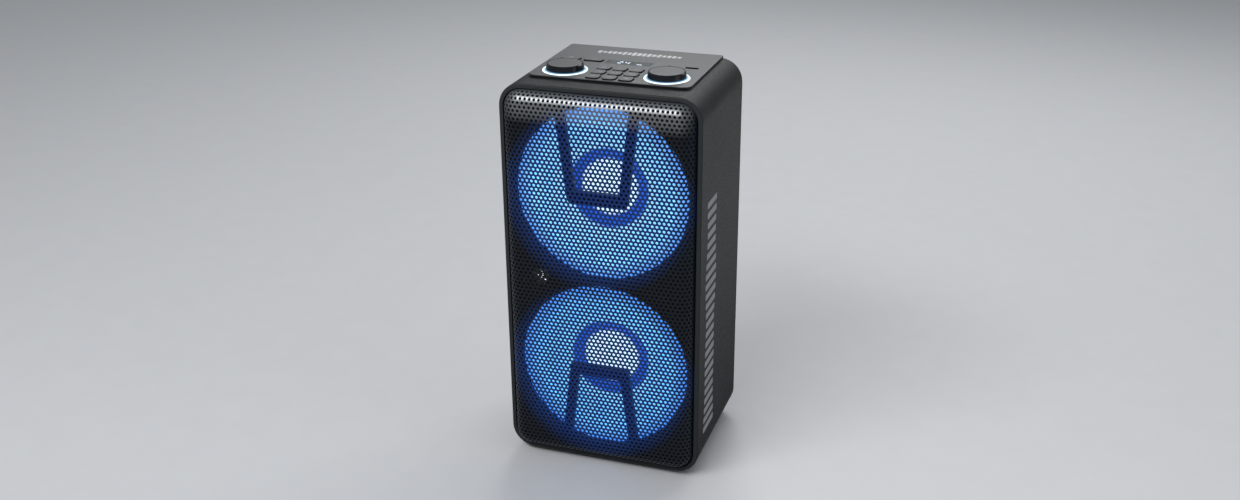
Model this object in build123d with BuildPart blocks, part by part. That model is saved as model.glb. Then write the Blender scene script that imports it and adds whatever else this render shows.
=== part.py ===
from build123d import *
from math import asin, cos, radians, sin, tan
import os

# Two-driver tower party speaker with a bowed perforated grille, lit drivers and a control panel on top.
# Millimetres. +Z is up, the grille faces -Y and X runs to the listener's right. The origin is on the
# standing surface, under the middle of the cabinet.

os.makedirs("parts", exist_ok=True)

# ---------------------------------------------------------------- driving dimensions
CABINET_WIDTH = 190.0
CABINET_HEIGHT = 372.0
CABINET_DEPTH = 140.0
CORNER_RADIUS = 22.0
WALL = 4.0
EDGE_SOFTENING = 1.5
FOOT_HEIGHT = 4.0
FOOT_RADIUS = 9.0
FOOT_SPACING = 120.0  # across the cabinet
FOOT_INSET = 17.0  # from the cabinet's front and back

GRILLE_BULGE = 10.0  # how far the grille stands out of the cabinet's front edge
GRILLE_ROLL = 13.5  # radius of its rolled edges
GRILLE_SHEET = 1.0
GRILLE_GAP = 0.8  # between the grille's skirt and the cabinet wall

BAFFLE_SETBACK = 4.0
BAFFLE_THICKNESS = 3.5
FIT_GAP = 0.3  # between drop-in panels and the walls around them

DRIVER_SPACING = 174.0
DRIVER_OPENING_RADIUS = 83.0
DRIVER_FLANGE_RADIUS = 86.5
CONE_TRAVEL = 2.5

STROBE_X = -60.0
STROBE_BODY_RADIUS = 5.9
STROBE_BODY_LENGTH = 8.0
STROBE_FLANGE_RADIUS = 7.6
STROBE_BEZEL = 0.8
STROBE_LENS_RADIUS = 5.4
STROBE_LENS_RISE = 2.4

# ---------------------------------------------------------------- places worked out from them
FRONT_Y = GRILLE_BULGE - (CABINET_DEPTH + GRILLE_BULGE) / 2
BACK_Y = FRONT_Y + CABINET_DEPTH
BASE_Z = FOOT_HEIGHT
TOP_Z = BASE_Z + CABINET_HEIGHT
MIDDLE_Z = BASE_Z + CABINET_HEIGHT / 2
INNER_WIDTH = CABINET_WIDTH - 2 * WALL
INNER_HEIGHT = CABINET_HEIGHT - 2 * WALL
INNER_RADIUS = CORNER_RADIUS - WALL

BAFFLE_FRONT_Y = FRONT_Y + BAFFLE_SETBACK
DRIVER_Y = BAFFLE_FRONT_Y + BAFFLE_THICKNESS  # the driver flange's front face
UPPER_Z = MIDDLE_Z + DRIVER_SPACING / 2
LOWER_Z = MIDDLE_Z - DRIVER_SPACING / 2

REAR_PANEL_BACK_Y = BACK_Y - 2.5
REAR_PANEL_THICKNESS = 3.5
REAR_PANEL_FRONT_Y = REAR_PANEL_BACK_Y - REAR_PANEL_THICKNESS

# Six bosses at each end of the cabinet take the baffle's and the rear panel's screws.
BOSS_RADIUS = 6.0
BOSS_LENGTH = 14.0
BOSS_PILOT_RADIUS = 1.4
BOSS_X = 85.0
BOSS_REACH = 168.0
BOSS_POINTS = [(side * BOSS_X, rise) for side in (-1, 1) for rise in (-BOSS_REACH, 0, BOSS_REACH)]
EAR_OFFSET = 65.0  # the driver's four screw ears, sideways and up from its centre
EAR_POINTS = [(x, z) for x in (-EAR_OFFSET, EAR_OFFSET) for z in (-EAR_OFFSET, EAR_OFFSET)]
SCREW_RADIUS = 1.3
SCREW_CLEARANCE_RADIUS = 1.7
SCREW_HEAD_RADIUS = 2.8
SCREW_HEAD_HEIGHT = 1.8

# Control panel, on top of the cabinet. Its depths are counted back from the cabinet's front edge.
PANEL_THICKNESS = 2.7
PANEL_WIDTH = 153.0
PANEL_FRONT_Y = FRONT_Y + 22.5
PANEL_BACK_Y = FRONT_Y + 138.5
PANEL_TOP_Z = TOP_Z + PANEL_THICKNESS
PANEL_FRONT_CORNER = 8.0
PANEL_BACK_CORNER = 3.0
PANEL_EDGE_RADIUS = 0.8
CUTOUT_WIDTH = 143.0
CUTOUT_FRONT_Y = PANEL_FRONT_Y + 1.0
CUTOUT_BACK_Y = FRONT_Y + 96.0
SKIRT_THICKNESS = 1.2
STUD_POINTS = [(side * 58.0, FRONT_Y + 118.0) for side in (-1, 1)]  # screwed from inside the cabinet
STUD_RADIUS = 3.5
BOARD_TOP_Z = TOP_Z - 12.0
BOARD_THICKNESS = 1.6

KNOB_X = 48.4
KNOB_Y = FRONT_Y + 47.0
LIGHT_RING_RADIUS = 20.8
LIGHT_RING_LEDGE = 1.5  # width of the step in the panel that the ring rests on
LIGHT_RING_LEDGE_Z = TOP_Z + 0.8
LIGHT_RING_STEP_RADIUS = 16.2
LIGHT_RING_RISE = 0.6
KNOB_GAP = 0.6
KNOB_HEIGHT = 5.3
KNOB_BASE_RADIUS = 17.7
KNOB_TOP_RADIUS = 17.0
KNOB_CAP_RADIUS = 15.7
SHAFT_RADIUS = 3.0
SHAFT_CLEARANCE = 0.05

KEY_SIZE = 12.0
KEY_CORNER = 3.2
KEY_PITCH_X = 15.6
KEY_PITCH_Y = 15.0
KEY_MIDDLE_Y = FRONT_Y + 46.0
KEY_PROUD = 1.3
KEY_GAP = 0.8
KEY_FLANGE_EXTRA = 1.2
KEY_STEM_BOTTOM_Z = TOP_Z - 3.3
KEY_TRAVEL = 0.8

ROW_Y = FRONT_Y + 85.0  # the row of wide keys, display and sockets behind the knobs
WIDE_KEY_LENGTH = 18.0
WIDE_KEY_WIDTH = 9.0
WIDE_KEYS = {"lights_key": -57.0, "power_key": -34.5}
DISPLAY_WIDTH = 48.0
DISPLAY_DEPTH = 16.0
DISPLAY_LENS = 1.2
DISPLAY_CORNER = 3.5
AUX_X = 39.0
AUX_BORE_RADIUS = 1.8
AUX_COLLAR_RADIUS = 2.4
USB_X = 60.5
USB_INNER = (12.6, 5.2)

KEY_NAMES = [  # from the front row back, left to right
    ["bass_key", "echo_key", "record_key"],
    ["previous_key", "play_key", "next_key"],
    ["mode_key", "menu_key", "repeat_key"],
]

# Rear fittings
PORT_BORE_RADIUS = 20.0
PORT_TUBE_RADIUS = 22.0
PORT_FLANGE_RADIUS = 28.0
PORT_LENGTH = 60.0
SOCKET_Z = 62.0
SOCKET_FIELD = (88.0, 30.0)
MIC_X = 26.0
MIC_BORE_RADIUS = 3.3
MIC_NOSE_RADIUS = 5.4
MIC_BODY = 16.0
MIC_BORE_DEPTH = 22.0
DC_X = -26.0
DC_BORE_RADIUS = 2.9
DC_NOSE_RADIUS = 4.5
DC_BODY = (12.0, 14.0)
DC_BORE_DEPTH = 12.0
MAIN_BOARD_Y = 46.0
MAIN_BOARD_SIZE = (104.0, 60.0)
HEAT_SINK_X = -18.0
HEAT_SINK_SIZE = (44.0, 34.0)
FIN_PITCH = 7.0
FIN_THICKNESS = 1.8
CELL_DIAMETER = 19.4  # two wrapped cells side by side
CELL_LENGTH = 68.0
GRIP_WIDTH = 112.0
GRIP_MOUTH_HEIGHT = 34.0
GRIP_DEPTH = 26.0
GRIP_LIP = 8.0  # how far the pocket climbs behind the panel, for the fingertips
GRIP_WALL = 2.5
GRIP_MOUTH_ROUNDING = 1.2
GRIP_Z = TOP_Z - 45.0


def front_plane(y, z=0.0):
    """A plane facing the front, with local x to the right and local y up. Extruding goes towards -Y."""
    return Plane(origin=(0, y, z), x_dir=(1, 0, 0), z_dir=(0, -1, 0))


def driver_plane(z):
    """Local x is the radius and local y the depth behind the driver flange's front face."""
    return Plane(origin=(0, DRIVER_Y, z), x_dir=(1, 0, 0), z_dir=(0, 0, 1))


def driver_axis(z):
    return Axis((0, DRIVER_Y, z), (0, 1, 0))


def dome_middle(radius, rise):
    """The point half way up a spherical dome's outline: its radius, and its depth below the top."""
    sphere = (radius**2 + rise**2) / (2 * rise)
    half = asin(radius / sphere) / 2
    return sphere * sin(half), sphere * (1 - cos(half))


def save(part, label):
    part.label = label
    export_step(part, f"parts/{label}.step")


# ---------------------------------------------------------------- cabinet shell
with BuildPart() as cabinet:
    with BuildSketch(front_plane(BACK_Y, MIDDLE_Z)):
        RectangleRounded(CABINET_WIDTH, CABINET_HEIGHT, CORNER_RADIUS)
    extrude(amount=CABINET_DEPTH)
    end_faces = cabinet.faces().filter_by(Axis.Y)
    fillet(end_faces.edges(), EDGE_SOFTENING)
    with BuildSketch(front_plane(BACK_Y, MIDDLE_Z)):
        RectangleRounded(INNER_WIDTH, INNER_HEIGHT, INNER_RADIUS)
    extrude(amount=CABINET_DEPTH, mode=Mode.SUBTRACT)
    for boss_end_y in (DRIVER_Y + BOSS_LENGTH, REAR_PANEL_FRONT_Y):
        with BuildSketch(front_plane(boss_end_y, MIDDLE_Z)):
            with Locations(*BOSS_POINTS):
                Circle(BOSS_RADIUS)
            with Locations(*[((BOSS_X + 3.5) * (1 if x > 0 else -1), z) for x, z in BOSS_POINTS]):
                Rectangle(9, 8)
            with Locations(*BOSS_POINTS):
                Circle(BOSS_PILOT_RADIUS, mode=Mode.SUBTRACT)
        extrude(amount=BOSS_LENGTH)
    with BuildSketch(Plane.XY.offset(TOP_Z)):
        with Locations((0, (CUTOUT_FRONT_Y + CUTOUT_BACK_Y) / 2)):
            RectangleRounded(CUTOUT_WIDTH, CUTOUT_BACK_Y - CUTOUT_FRONT_Y, 4)
        with Locations(*STUD_POINTS):
            Circle(STUD_RADIUS + FIT_GAP)
    extrude(amount=-2 * WALL, mode=Mode.SUBTRACT)
save(cabinet.part, "cabinet")

with BuildPart() as rubber_feet:
    with BuildSketch(Plane.XY):
        with Locations((0, (FRONT_Y + BACK_Y) / 2)):
            with GridLocations(FOOT_SPACING, CABINET_DEPTH - 2 * FOOT_INSET, 2, 2):
                Circle(FOOT_RADIUS)
    extrude(amount=FOOT_HEIGHT)
    chamfer(rubber_feet.faces().group_by(Axis.Z)[0].edges(), 1.0)
save(rubber_feet.part, "rubber_feet")

# ---------------------------------------------------------------- front baffle
with BuildPart() as front_baffle:
    with BuildSketch(front_plane(DRIVER_Y, MIDDLE_Z)):
        RectangleRounded(INNER_WIDTH - 2 * FIT_GAP, INNER_HEIGHT - 2 * FIT_GAP, INNER_RADIUS - FIT_GAP)
        with Locations((0, DRIVER_SPACING / 2), (0, -DRIVER_SPACING / 2)):
            Circle(DRIVER_OPENING_RADIUS, mode=Mode.SUBTRACT)
        with Locations(*BOSS_POINTS):
            Circle(SCREW_CLEARANCE_RADIUS, mode=Mode.SUBTRACT)
        for centre in (DRIVER_SPACING / 2, -DRIVER_SPACING / 2):
            with Locations(*[(x, centre + z) for x, z in EAR_POINTS]):
                Circle(SCREW_CLEARANCE_RADIUS, mode=Mode.SUBTRACT)
        with Locations((STROBE_X, 0)):
            Circle(STROBE_BODY_RADIUS + 0.2, mode=Mode.SUBTRACT)
    extrude(amount=BAFFLE_THICKNESS)
    opening_rims = (
        front_baffle.faces().sort_by(Axis.Y)[0].edges().filter_by(GeomType.CIRCLE)
    ).filter_by(lambda edge: abs(edge.radius - DRIVER_OPENING_RADIUS) < 0.01)
    chamfer(opening_rims, 1.5)
save(front_baffle.part, "front_baffle")

# A small flashing lamp sits in the baffle between the two drivers.
with BuildPart() as strobe_light:
    strobe_plane = Plane(origin=(STROBE_X, BAFFLE_FRONT_Y, MIDDLE_Z), x_dir=(1, 0, 0), z_dir=(0, 0, 1))
    lens_x, lens_drop = dome_middle(STROBE_LENS_RADIUS, STROBE_LENS_RISE)
    lens_top = -STROBE_BEZEL - STROBE_LENS_RISE
    with BuildSketch(strobe_plane):
        with BuildLine():
            Polyline(
                (0, lens_top),
                (0, STROBE_BODY_LENGTH),
                (STROBE_BODY_RADIUS, STROBE_BODY_LENGTH),
                (STROBE_BODY_RADIUS, 0),
                (STROBE_FLANGE_RADIUS, 0),
                (STROBE_FLANGE_RADIUS, -STROBE_BEZEL),
                (STROBE_LENS_RADIUS, -STROBE_BEZEL),
            )
            ThreePointArc(
                (STROBE_LENS_RADIUS, -STROBE_BEZEL),
                (lens_x, lens_top + lens_drop),
                (0, lens_top),
            )
        make_face()
    revolve(axis=Axis((STROBE_X, BAFFLE_FRONT_Y, MIDDLE_Z), (0, 1, 0)))
save(strobe_light.part, "strobe_light")

# ---------------------------------------------------------------- domed grille
GRILLE_WIDTH = INNER_WIDTH - 2 * GRILLE_GAP
GRILLE_HEIGHT = INNER_HEIGHT - 2 * GRILLE_GAP
with BuildPart() as front_grille:
    with BuildSketch(front_plane(BAFFLE_FRONT_Y, MIDDLE_Z)):
        RectangleRounded(GRILLE_WIDTH, GRILLE_HEIGHT, INNER_RADIUS - GRILLE_GAP)
    extrude(amount=BAFFLE_SETBACK + GRILLE_BULGE)
    fillet(front_grille.faces().sort_by(Axis.Y)[0].edges(), GRILLE_ROLL)
    offset(amount=-GRILLE_SHEET, openings=front_grille.faces().sort_by(Axis.Y)[-1])
save(front_grille.part, "front_grille")

# ---------------------------------------------------------------- braces in front of the cones
BRACE_THICKNESS = 4.5
BRACE_FRONT_Y = FRONT_Y - GRILLE_BULGE + GRILLE_SHEET + 1.7
BRACE_BAR_HALF = 6.0
BRACE_END = 86.0
BRACE_ARM = 9.0
BRACE_HALF_WIDTHS = (28.5, 40.0)  # at the bar and at the ends of the arms
BRACE_CORNER = 5.0
BRACE_POST = (35.0, 82.0)
BRACE_POST_SIDE = 7.5


def make_brace(z, up, label):
    """A trapezoid hoop whose bar crosses the driver's centre and whose two arms end on the baffle."""
    narrow, wide = BRACE_HALF_WIDTHS
    plane = Plane(
        origin=(0, BRACE_FRONT_Y + BRACE_THICKNESS, z), x_dir=(up, 0, 0), z_dir=(0, -1, 0)
    )
    with BuildPart() as brace:
        with BuildSketch(plane) as hoop:
            with BuildLine():
                Polyline(
                    (-wide, BRACE_END),
                    (-narrow, -BRACE_BAR_HALF),
                    (narrow, -BRACE_BAR_HALF),
                    (wide, BRACE_END),
                    close=True,
                )
            make_face()
            fillet(hoop.vertices().group_by(Axis.Z)[0 if up > 0 else -1], BRACE_CORNER)
        extrude(amount=BRACE_THICKNESS)
        with BuildSketch(plane):
            with BuildLine():
                Polyline(
                    (-wide + BRACE_ARM, BRACE_END + 1),
                    (-narrow + BRACE_ARM * 0.85, BRACE_BAR_HALF),
                    (narrow - BRACE_ARM * 0.85, BRACE_BAR_HALF),
                    (wide - BRACE_ARM, BRACE_END + 1),
                    close=True,
                )
            make_face()
        extrude(amount=BRACE_THICKNESS, mode=Mode.SUBTRACT)
        with BuildSketch(plane):
            with Locations(*[(side * BRACE_POST[0], BRACE_POST[1]) for side in (-1, 1)]):
                Rectangle(BRACE_POST_SIDE, BRACE_POST_SIDE)
        extrude(amount=BRACE_FRONT_Y + BRACE_THICKNESS - BAFFLE_FRONT_Y)
    save(brace.part, label)


make_brace(UPPER_Z, 1, "upper_brace")
make_brace(LOWER_Z, -1, "lower_brace")

# ---------------------------------------------------------------- drivers
# Pairs are (radius, depth), with depth counted back from the flange's front face.
FLANGE_INNER_RADIUS = 78.5
FLANGE_THICKNESS = 2.5
BASKET_SHEET = 2.0
SPIDER_LEDGE_DEPTH = 31.5
SPIDER_LEDGE_RADII = (40.0, 46.0)
EAR_RADIUS = 6.0
BASKET_REAR_DEPTH = 36.5
CONE_OUTER = (67.0, 3.4)
CONE_KNEE = (36.0, 18.5)
CONE_NECK = (19.5, 28.5)
CONE_SHEET = 0.9
DUST_CAP_RADIUS = 29.0
DUST_CAP_RISE = 7.5
FORMER_RADIUS = 19.0
POLE_RADIUS = 18.2
GAP_OUTER_RADIUS = 21.2
PLATE_DEPTH = 5.0
MAGNET_DEPTH = 15.0
MAGNET_RADII = (24.0, 42.0)
YOKE_RADIUS = 38.0


def cone_depth(radius):
    """Depth of the cone's front surface at a radius."""
    (r0, d0), (r1, d1), (r2, d2) = CONE_OUTER, CONE_KNEE, CONE_NECK
    if radius >= r1:
        return d0 + (r0 - radius) * (d1 - d0) / (r0 - r1)
    return d1 + (r1 - radius) * (d2 - d1) / (r1 - r2)


def revolved(z, points):
    """A closed ring turned about the driver's axis."""
    with BuildPart() as ring:
        with BuildSketch(driver_plane(z)):
            with BuildLine():
                Polyline(*points, close=True)
            make_face()
        revolve(axis=driver_axis(z))
    return ring.part


def make_chassis(z, label):
    ledge_inner, ledge_outer = SPIDER_LEDGE_RADII
    with BuildPart() as chassis:
        with BuildSketch(front_plane(DRIVER_Y + FLANGE_THICKNESS, z)):
            Circle(DRIVER_FLANGE_RADIUS)
            with Locations(*EAR_POINTS):
                Circle(EAR_RADIUS)
            Circle(FLANGE_INNER_RADIUS, mode=Mode.SUBTRACT)
            with Locations(*EAR_POINTS):
                Circle(SCREW_RADIUS, mode=Mode.SUBTRACT)
        extrude(amount=FLANGE_THICKNESS)
        with BuildSketch(driver_plane(z)):
            with BuildLine():
                Polyline(
                    (FLANGE_INNER_RADIUS + 2, FLANGE_THICKNESS - 1),
                    (ledge_outer, SPIDER_LEDGE_DEPTH),
                    (ledge_inner, SPIDER_LEDGE_DEPTH),
                    (ledge_inner, BASKET_REAR_DEPTH - BASKET_SHEET),
                    (GAP_OUTER_RADIUS, BASKET_REAR_DEPTH - BASKET_SHEET),
                    (GAP_OUTER_RADIUS, BASKET_REAR_DEPTH),
                    (ledge_outer + 2, BASKET_REAR_DEPTH),
                    (FLANGE_INNER_RADIUS + 5, FLANGE_THICKNESS - 1),
                    close=True,
                )
            make_face()
        revolve(axis=driver_axis(z))
        # Six windows leave a six-legged basket.
        window_rear, window_front = 28.0, 10.0
        with BuildSketch(front_plane(DRIVER_Y + window_rear, z)):
            with PolarLocations(66, 6, start_angle=30):
                RectangleRounded(42, 34, 6)
        extrude(amount=window_rear - window_front, mode=Mode.SUBTRACT)
    save(chassis.part, label)


def make_cone(z, label):
    points = [CONE_OUTER, CONE_KNEE, CONE_NECK]
    back = [(r, d + CONE_SHEET * 1.15) for r, d in reversed(points)]
    save(revolved(z, [*points, *back]), label)


def make_surround(z, label):
    """A half-roll rubber edge between the flange and the cone."""
    roll_inner, roll_outer, sheet = 67.8, 79.0, 0.8
    foot = 2.6  # depth of its glued edge on the cone
    middle = (roll_inner + roll_outer) / 2
    rise = (roll_outer - roll_inner) / 2 - 1.5
    with BuildPart() as surround:
        with BuildSketch(driver_plane(z)):
            with BuildLine():
                Polyline((82.0, -sheet), (82.0, -0.02), (roll_outer, -0.02))
                ThreePointArc((roll_outer, -0.02), (middle, -rise + sheet), (roll_inner, foot))
                Polyline(
                    (roll_inner, foot),
                    (65.0, foot + 0.6),
                    (65.0, foot + 0.6 - sheet),
                    (roll_inner, foot - sheet),
                )
                ThreePointArc(
                    (roll_inner, foot - sheet), (middle, -rise), (roll_outer + 0.6, -sheet)
                )
                Line((roll_outer + 0.6, -sheet), (82.0, -sheet))
            make_face()
        revolve(axis=driver_axis(z))
    save(surround.part, label)


def make_dust_cap(z, label):
    """A shallow spherical dome glued on the cone's neck."""
    edge = cone_depth(DUST_CAP_RADIUS) - 0.1
    inner_radius, inner_rise = DUST_CAP_RADIUS - 1.6, DUST_CAP_RISE - 0.8
    outer_x, outer_drop = dome_middle(DUST_CAP_RADIUS, DUST_CAP_RISE)
    inner_x, inner_drop = dome_middle(inner_radius, inner_rise)
    with BuildPart() as dust_cap:
        with BuildSketch(driver_plane(z)):
            with BuildLine():
                ThreePointArc(
                    (DUST_CAP_RADIUS, edge),
                    (outer_x, edge - DUST_CAP_RISE + outer_drop),
                    (0, edge - DUST_CAP_RISE),
                )
                Line((0, edge - DUST_CAP_RISE), (0, edge - inner_rise))
                ThreePointArc(
                    (0, edge - inner_rise),
                    (inner_x, edge - inner_rise + inner_drop),
                    (inner_radius, edge),
                )
                Line((inner_radius, edge), (DUST_CAP_RADIUS, edge))
            make_face()
        revolve(axis=driver_axis(z))
    save(dust_cap.part, label)


def make_voice_coil(z, label):
    """The former tube with its winding, glued in the cone's neck."""
    front, rear = CONE_NECK[1] + 0.4, 47.0
    winding_front, winding_rear = 35.5, 45.5
    with BuildPart() as voice_coil:
        with BuildSketch(driver_plane(z)):
            with BuildLine():
                Polyline(
                    (FORMER_RADIUS, front),
                    (FORMER_RADIUS + 0.45, front),
                    (FORMER_RADIUS + 0.45, winding_front),
                    (FORMER_RADIUS + 1.2, winding_front),
                    (FORMER_RADIUS + 1.2, winding_rear),
                    (FORMER_RADIUS + 0.45, winding_rear),
                    (FORMER_RADIUS + 0.45, rear),
                    (FORMER_RADIUS, rear),
                    close=True,
                )
            make_face()
        revolve(axis=driver_axis(z))
    save(voice_coil.part, label)


def make_spider(z, label):
    """The corrugated centring disc between the basket's ledge and the former."""
    sheet, waves, wave_height = 0.5, 4, 1.1
    inner, outer = FORMER_RADIUS + 0.5, 45.0
    step = (outer - 2 - inner) / (2 * waves)
    depth = SPIDER_LEDGE_DEPTH - sheet - 0.02
    ridge = [
        (inner + step * k, depth - (wave_height if k % 2 else 0)) for k in range(2 * waves + 1)
    ]
    ridge.append((outer, depth))
    back = [(r, d + sheet) for r, d in reversed(ridge)]
    save(revolved(z, [*ridge, *back]), label)


PLATE_FRONT = BASKET_REAR_DEPTH
MAGNET_FRONT = PLATE_FRONT + PLATE_DEPTH
YOKE_FRONT = MAGNET_FRONT + MAGNET_DEPTH
YOKE_REAR = YOKE_FRONT + PLATE_DEPTH


def magnet_points():
    inner, outer = MAGNET_RADII
    return [(inner, MAGNET_FRONT), (outer, MAGNET_FRONT), (outer, YOKE_FRONT), (inner, YOKE_FRONT)]


def yoke_points():
    vent = 5.0
    return [
        (vent, PLATE_FRONT),
        (POLE_RADIUS, PLATE_FRONT),
        (POLE_RADIUS, YOKE_FRONT),
        (YOKE_RADIUS, YOKE_FRONT),
        (YOKE_RADIUS, YOKE_REAR),
        (vent, YOKE_REAR),
    ]


def top_plate_points():
    return [
        (GAP_OUTER_RADIUS, PLATE_FRONT),
        (YOKE_RADIUS, PLATE_FRONT),
        (YOKE_RADIUS, MAGNET_FRONT),
        (GAP_OUTER_RADIUS, MAGNET_FRONT),
    ]


def make_led_rings():
    """Two ring-shaped circuit boards behind the cones, each with its light chips facing forwards."""
    inner, outer, front, thickness = 58.0, 66.0, 12.4, 1.6
    chips, chip_size, chip_height = 18, 3.0, 0.9
    with BuildPart() as led_rings:
        for z in (UPPER_Z, LOWER_Z):
            with BuildSketch(front_plane(DRIVER_Y + front + thickness, z)):
                Circle(outer)
                Circle(inner, mode=Mode.SUBTRACT)
            extrude(amount=thickness)
            with BuildSketch(front_plane(DRIVER_Y + front, z)):
                with PolarLocations((inner + outer) / 2, chips):
                    Rectangle(chip_size, chip_size)
            extrude(amount=chip_height)
    save(led_rings.part, "led_rings")


for prefix, driver_z in (("upper", UPPER_Z), ("lower", LOWER_Z)):
    make_chassis(driver_z, f"{prefix}_chassis")
    make_surround(driver_z, f"{prefix}_surround")
    make_cone(driver_z, f"{prefix}_cone")
    make_dust_cap(driver_z, f"{prefix}_dust_cap")
    make_voice_coil(driver_z, f"{prefix}_voice_coil")
    make_spider(driver_z, f"{prefix}_spider")
make_led_rings()
save(Compound(children=[revolved(z, magnet_points()) for z in (UPPER_Z, LOWER_Z)]), "magnets")
save(
    Compound(
        children=[
            revolved(z, points)
            for z in (UPPER_Z, LOWER_Z)
            for points in (yoke_points(), top_plate_points())
        ]
    ),
    "motor_steels",
)


# ---------------------------------------------------------------- screws
RECESS_LENGTH = 3.2
RECESS_WIDTH = 0.7


def make_screws(points, seat_y, length, out, label):
    """Pan-head screws with a crossed recess. The heads stand out of the plane at seat_y, and out is
    the distance they stand out: positive towards the front."""
    direction = 1 if out > 0 else -1
    with BuildPart() as screws:
        with BuildSketch(front_plane(seat_y, MIDDLE_Z)):
            with Locations(*points):
                Circle(SCREW_HEAD_RADIUS)
        extrude(amount=out)
        with BuildSketch(front_plane(seat_y, MIDDLE_Z)):
            with Locations(*points):
                Circle(SCREW_RADIUS)
        extrude(amount=-direction * length)
        with BuildSketch(front_plane(seat_y - out, MIDDLE_Z)):
            with Locations(*points):
                Rectangle(RECESS_LENGTH, RECESS_WIDTH)
                Rectangle(RECESS_WIDTH, RECESS_LENGTH)
        extrude(amount=-direction, mode=Mode.SUBTRACT)
    save(screws.part, label)


DRIVER_SCREW_POINTS = [
    (x, centre + z) for centre in (-DRIVER_SPACING / 2, DRIVER_SPACING / 2) for x, z in EAR_POINTS
]
FRONT_SCREW_POINTS = [*BOSS_POINTS, *DRIVER_SCREW_POINTS]
REAR_SEAT_Y = REAR_PANEL_BACK_Y - SCREW_HEAD_HEIGHT
make_screws(FRONT_SCREW_POINTS, BAFFLE_FRONT_Y, 9.0, SCREW_HEAD_HEIGHT, "front_screws")
make_screws(BOSS_POINTS, REAR_SEAT_Y, 10.0, -SCREW_HEAD_HEIGHT, "rear_screws")

# ---------------------------------------------------------------- rear panel and its fittings
STANDOFFS = [(x, z) for x in (-44, 44) for z in (SOCKET_Z - 24, SOCKET_Z + 24)]
BOARD_BACK_Y = MAIN_BOARD_Y + BOARD_THICKNESS
with BuildPart() as rear_panel:
    with BuildSketch(front_plane(REAR_PANEL_BACK_Y, MIDDLE_Z)):
        RectangleRounded(INNER_WIDTH - 2 * FIT_GAP, INNER_HEIGHT - 2 * FIT_GAP, INNER_RADIUS - FIT_GAP)
    extrude(amount=REAR_PANEL_THICKNESS)
    # The grip pocket is a moulded box behind a mouth; it climbs behind the panel above the mouth.
    with BuildSketch(front_plane(REAR_PANEL_FRONT_Y + 0.5, GRIP_Z + GRIP_LIP / 2)):
        RectangleRounded(GRIP_WIDTH + 2 * GRIP_WALL, GRIP_MOUTH_HEIGHT + GRIP_LIP + 2 * GRIP_WALL, 9)
    extrude(amount=GRIP_DEPTH - REAR_PANEL_THICKNESS + GRIP_WALL + 0.5)
    with BuildSketch(front_plane(REAR_PANEL_FRONT_Y, GRIP_Z + GRIP_LIP / 2)):
        RectangleRounded(GRIP_WIDTH, GRIP_MOUTH_HEIGHT + GRIP_LIP, 7)
    extrude(amount=GRIP_DEPTH - REAR_PANEL_THICKNESS, mode=Mode.SUBTRACT)
    with BuildSketch(front_plane(REAR_PANEL_BACK_Y, GRIP_Z)):
        RectangleRounded(GRIP_WIDTH, GRIP_MOUTH_HEIGHT, 7)
    extrude(amount=REAR_PANEL_THICKNESS + 1, mode=Mode.SUBTRACT)
    # Standoffs carry the main board.
    with BuildSketch(front_plane(REAR_PANEL_FRONT_Y + 0.5)):
        with Locations(*STANDOFFS):
            Circle(3.5)
    extrude(amount=REAR_PANEL_FRONT_Y + 0.5 - BOARD_BACK_Y)
    with BuildSketch(front_plane(REAR_PANEL_BACK_Y, MIDDLE_Z)):
        Circle(PORT_TUBE_RADIUS + 0.2)
        with Locations((MIC_X, SOCKET_Z - MIDDLE_Z)):
            Circle(MIC_NOSE_RADIUS + 0.2)
        with Locations((DC_X, SOCKET_Z - MIDDLE_Z)):
            Circle(DC_NOSE_RADIUS + 0.2)
        with Locations(*BOSS_POINTS):
            Circle(SCREW_CLEARANCE_RADIUS)
    extrude(amount=REAR_PANEL_THICKNESS, mode=Mode.SUBTRACT)
    # The screw heads and the noses of the sockets stand in shallow recesses.
    with BuildSketch(front_plane(REAR_PANEL_BACK_Y, MIDDLE_Z)):
        with Locations(*BOSS_POINTS):
            Circle(SCREW_HEAD_RADIUS + 0.4)
        with Locations((0, SOCKET_Z - MIDDLE_Z)):
            RectangleRounded(*SOCKET_FIELD, 5)
    extrude(amount=SCREW_HEAD_HEIGHT, mode=Mode.SUBTRACT)
    mouth_edges = (
        rear_panel.edges()
        .filter_by(lambda edge: abs(edge.center().Y - REAR_PANEL_BACK_Y) < 0.01)
        .filter_by(lambda edge: abs(edge.center().Z - GRIP_Z) < GRIP_MOUTH_HEIGHT / 2 + 0.1)
        .filter_by(lambda edge: abs(edge.center().X) < GRIP_WIDTH / 2 + 0.1)
    )
    fillet(mouth_edges, GRIP_MOUTH_ROUNDING)
save(rear_panel.part, "rear_panel")

with BuildPart() as bass_port:
    port_plane = Plane(origin=(0, REAR_PANEL_BACK_Y, MIDDLE_Z), x_dir=(1, 0, 0), z_dir=(0, 0, 1))
    with BuildSketch(port_plane):
        with BuildLine():
            Polyline(
                (PORT_BORE_RADIUS, -1.0),
                (PORT_BORE_RADIUS, -PORT_LENGTH),
                (PORT_TUBE_RADIUS, -PORT_LENGTH),
                (PORT_TUBE_RADIUS, 0),
                (PORT_FLANGE_RADIUS, 0),
                (PORT_FLANGE_RADIUS, 0.8),
                (PORT_FLANGE_RADIUS - 1.2, 2.0),
                (PORT_BORE_RADIUS + 3, 2.0),
            )
            ThreePointArc(
                (PORT_BORE_RADIUS + 3, 2.0),
                (PORT_BORE_RADIUS + 0.9, 1.1),
                (PORT_BORE_RADIUS, -1.0),
            )
        make_face()
    revolve(axis=Axis((0, REAR_PANEL_BACK_Y, MIDDLE_Z), (0, 1, 0)))
save(bass_port.part, "bass_port")

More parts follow.
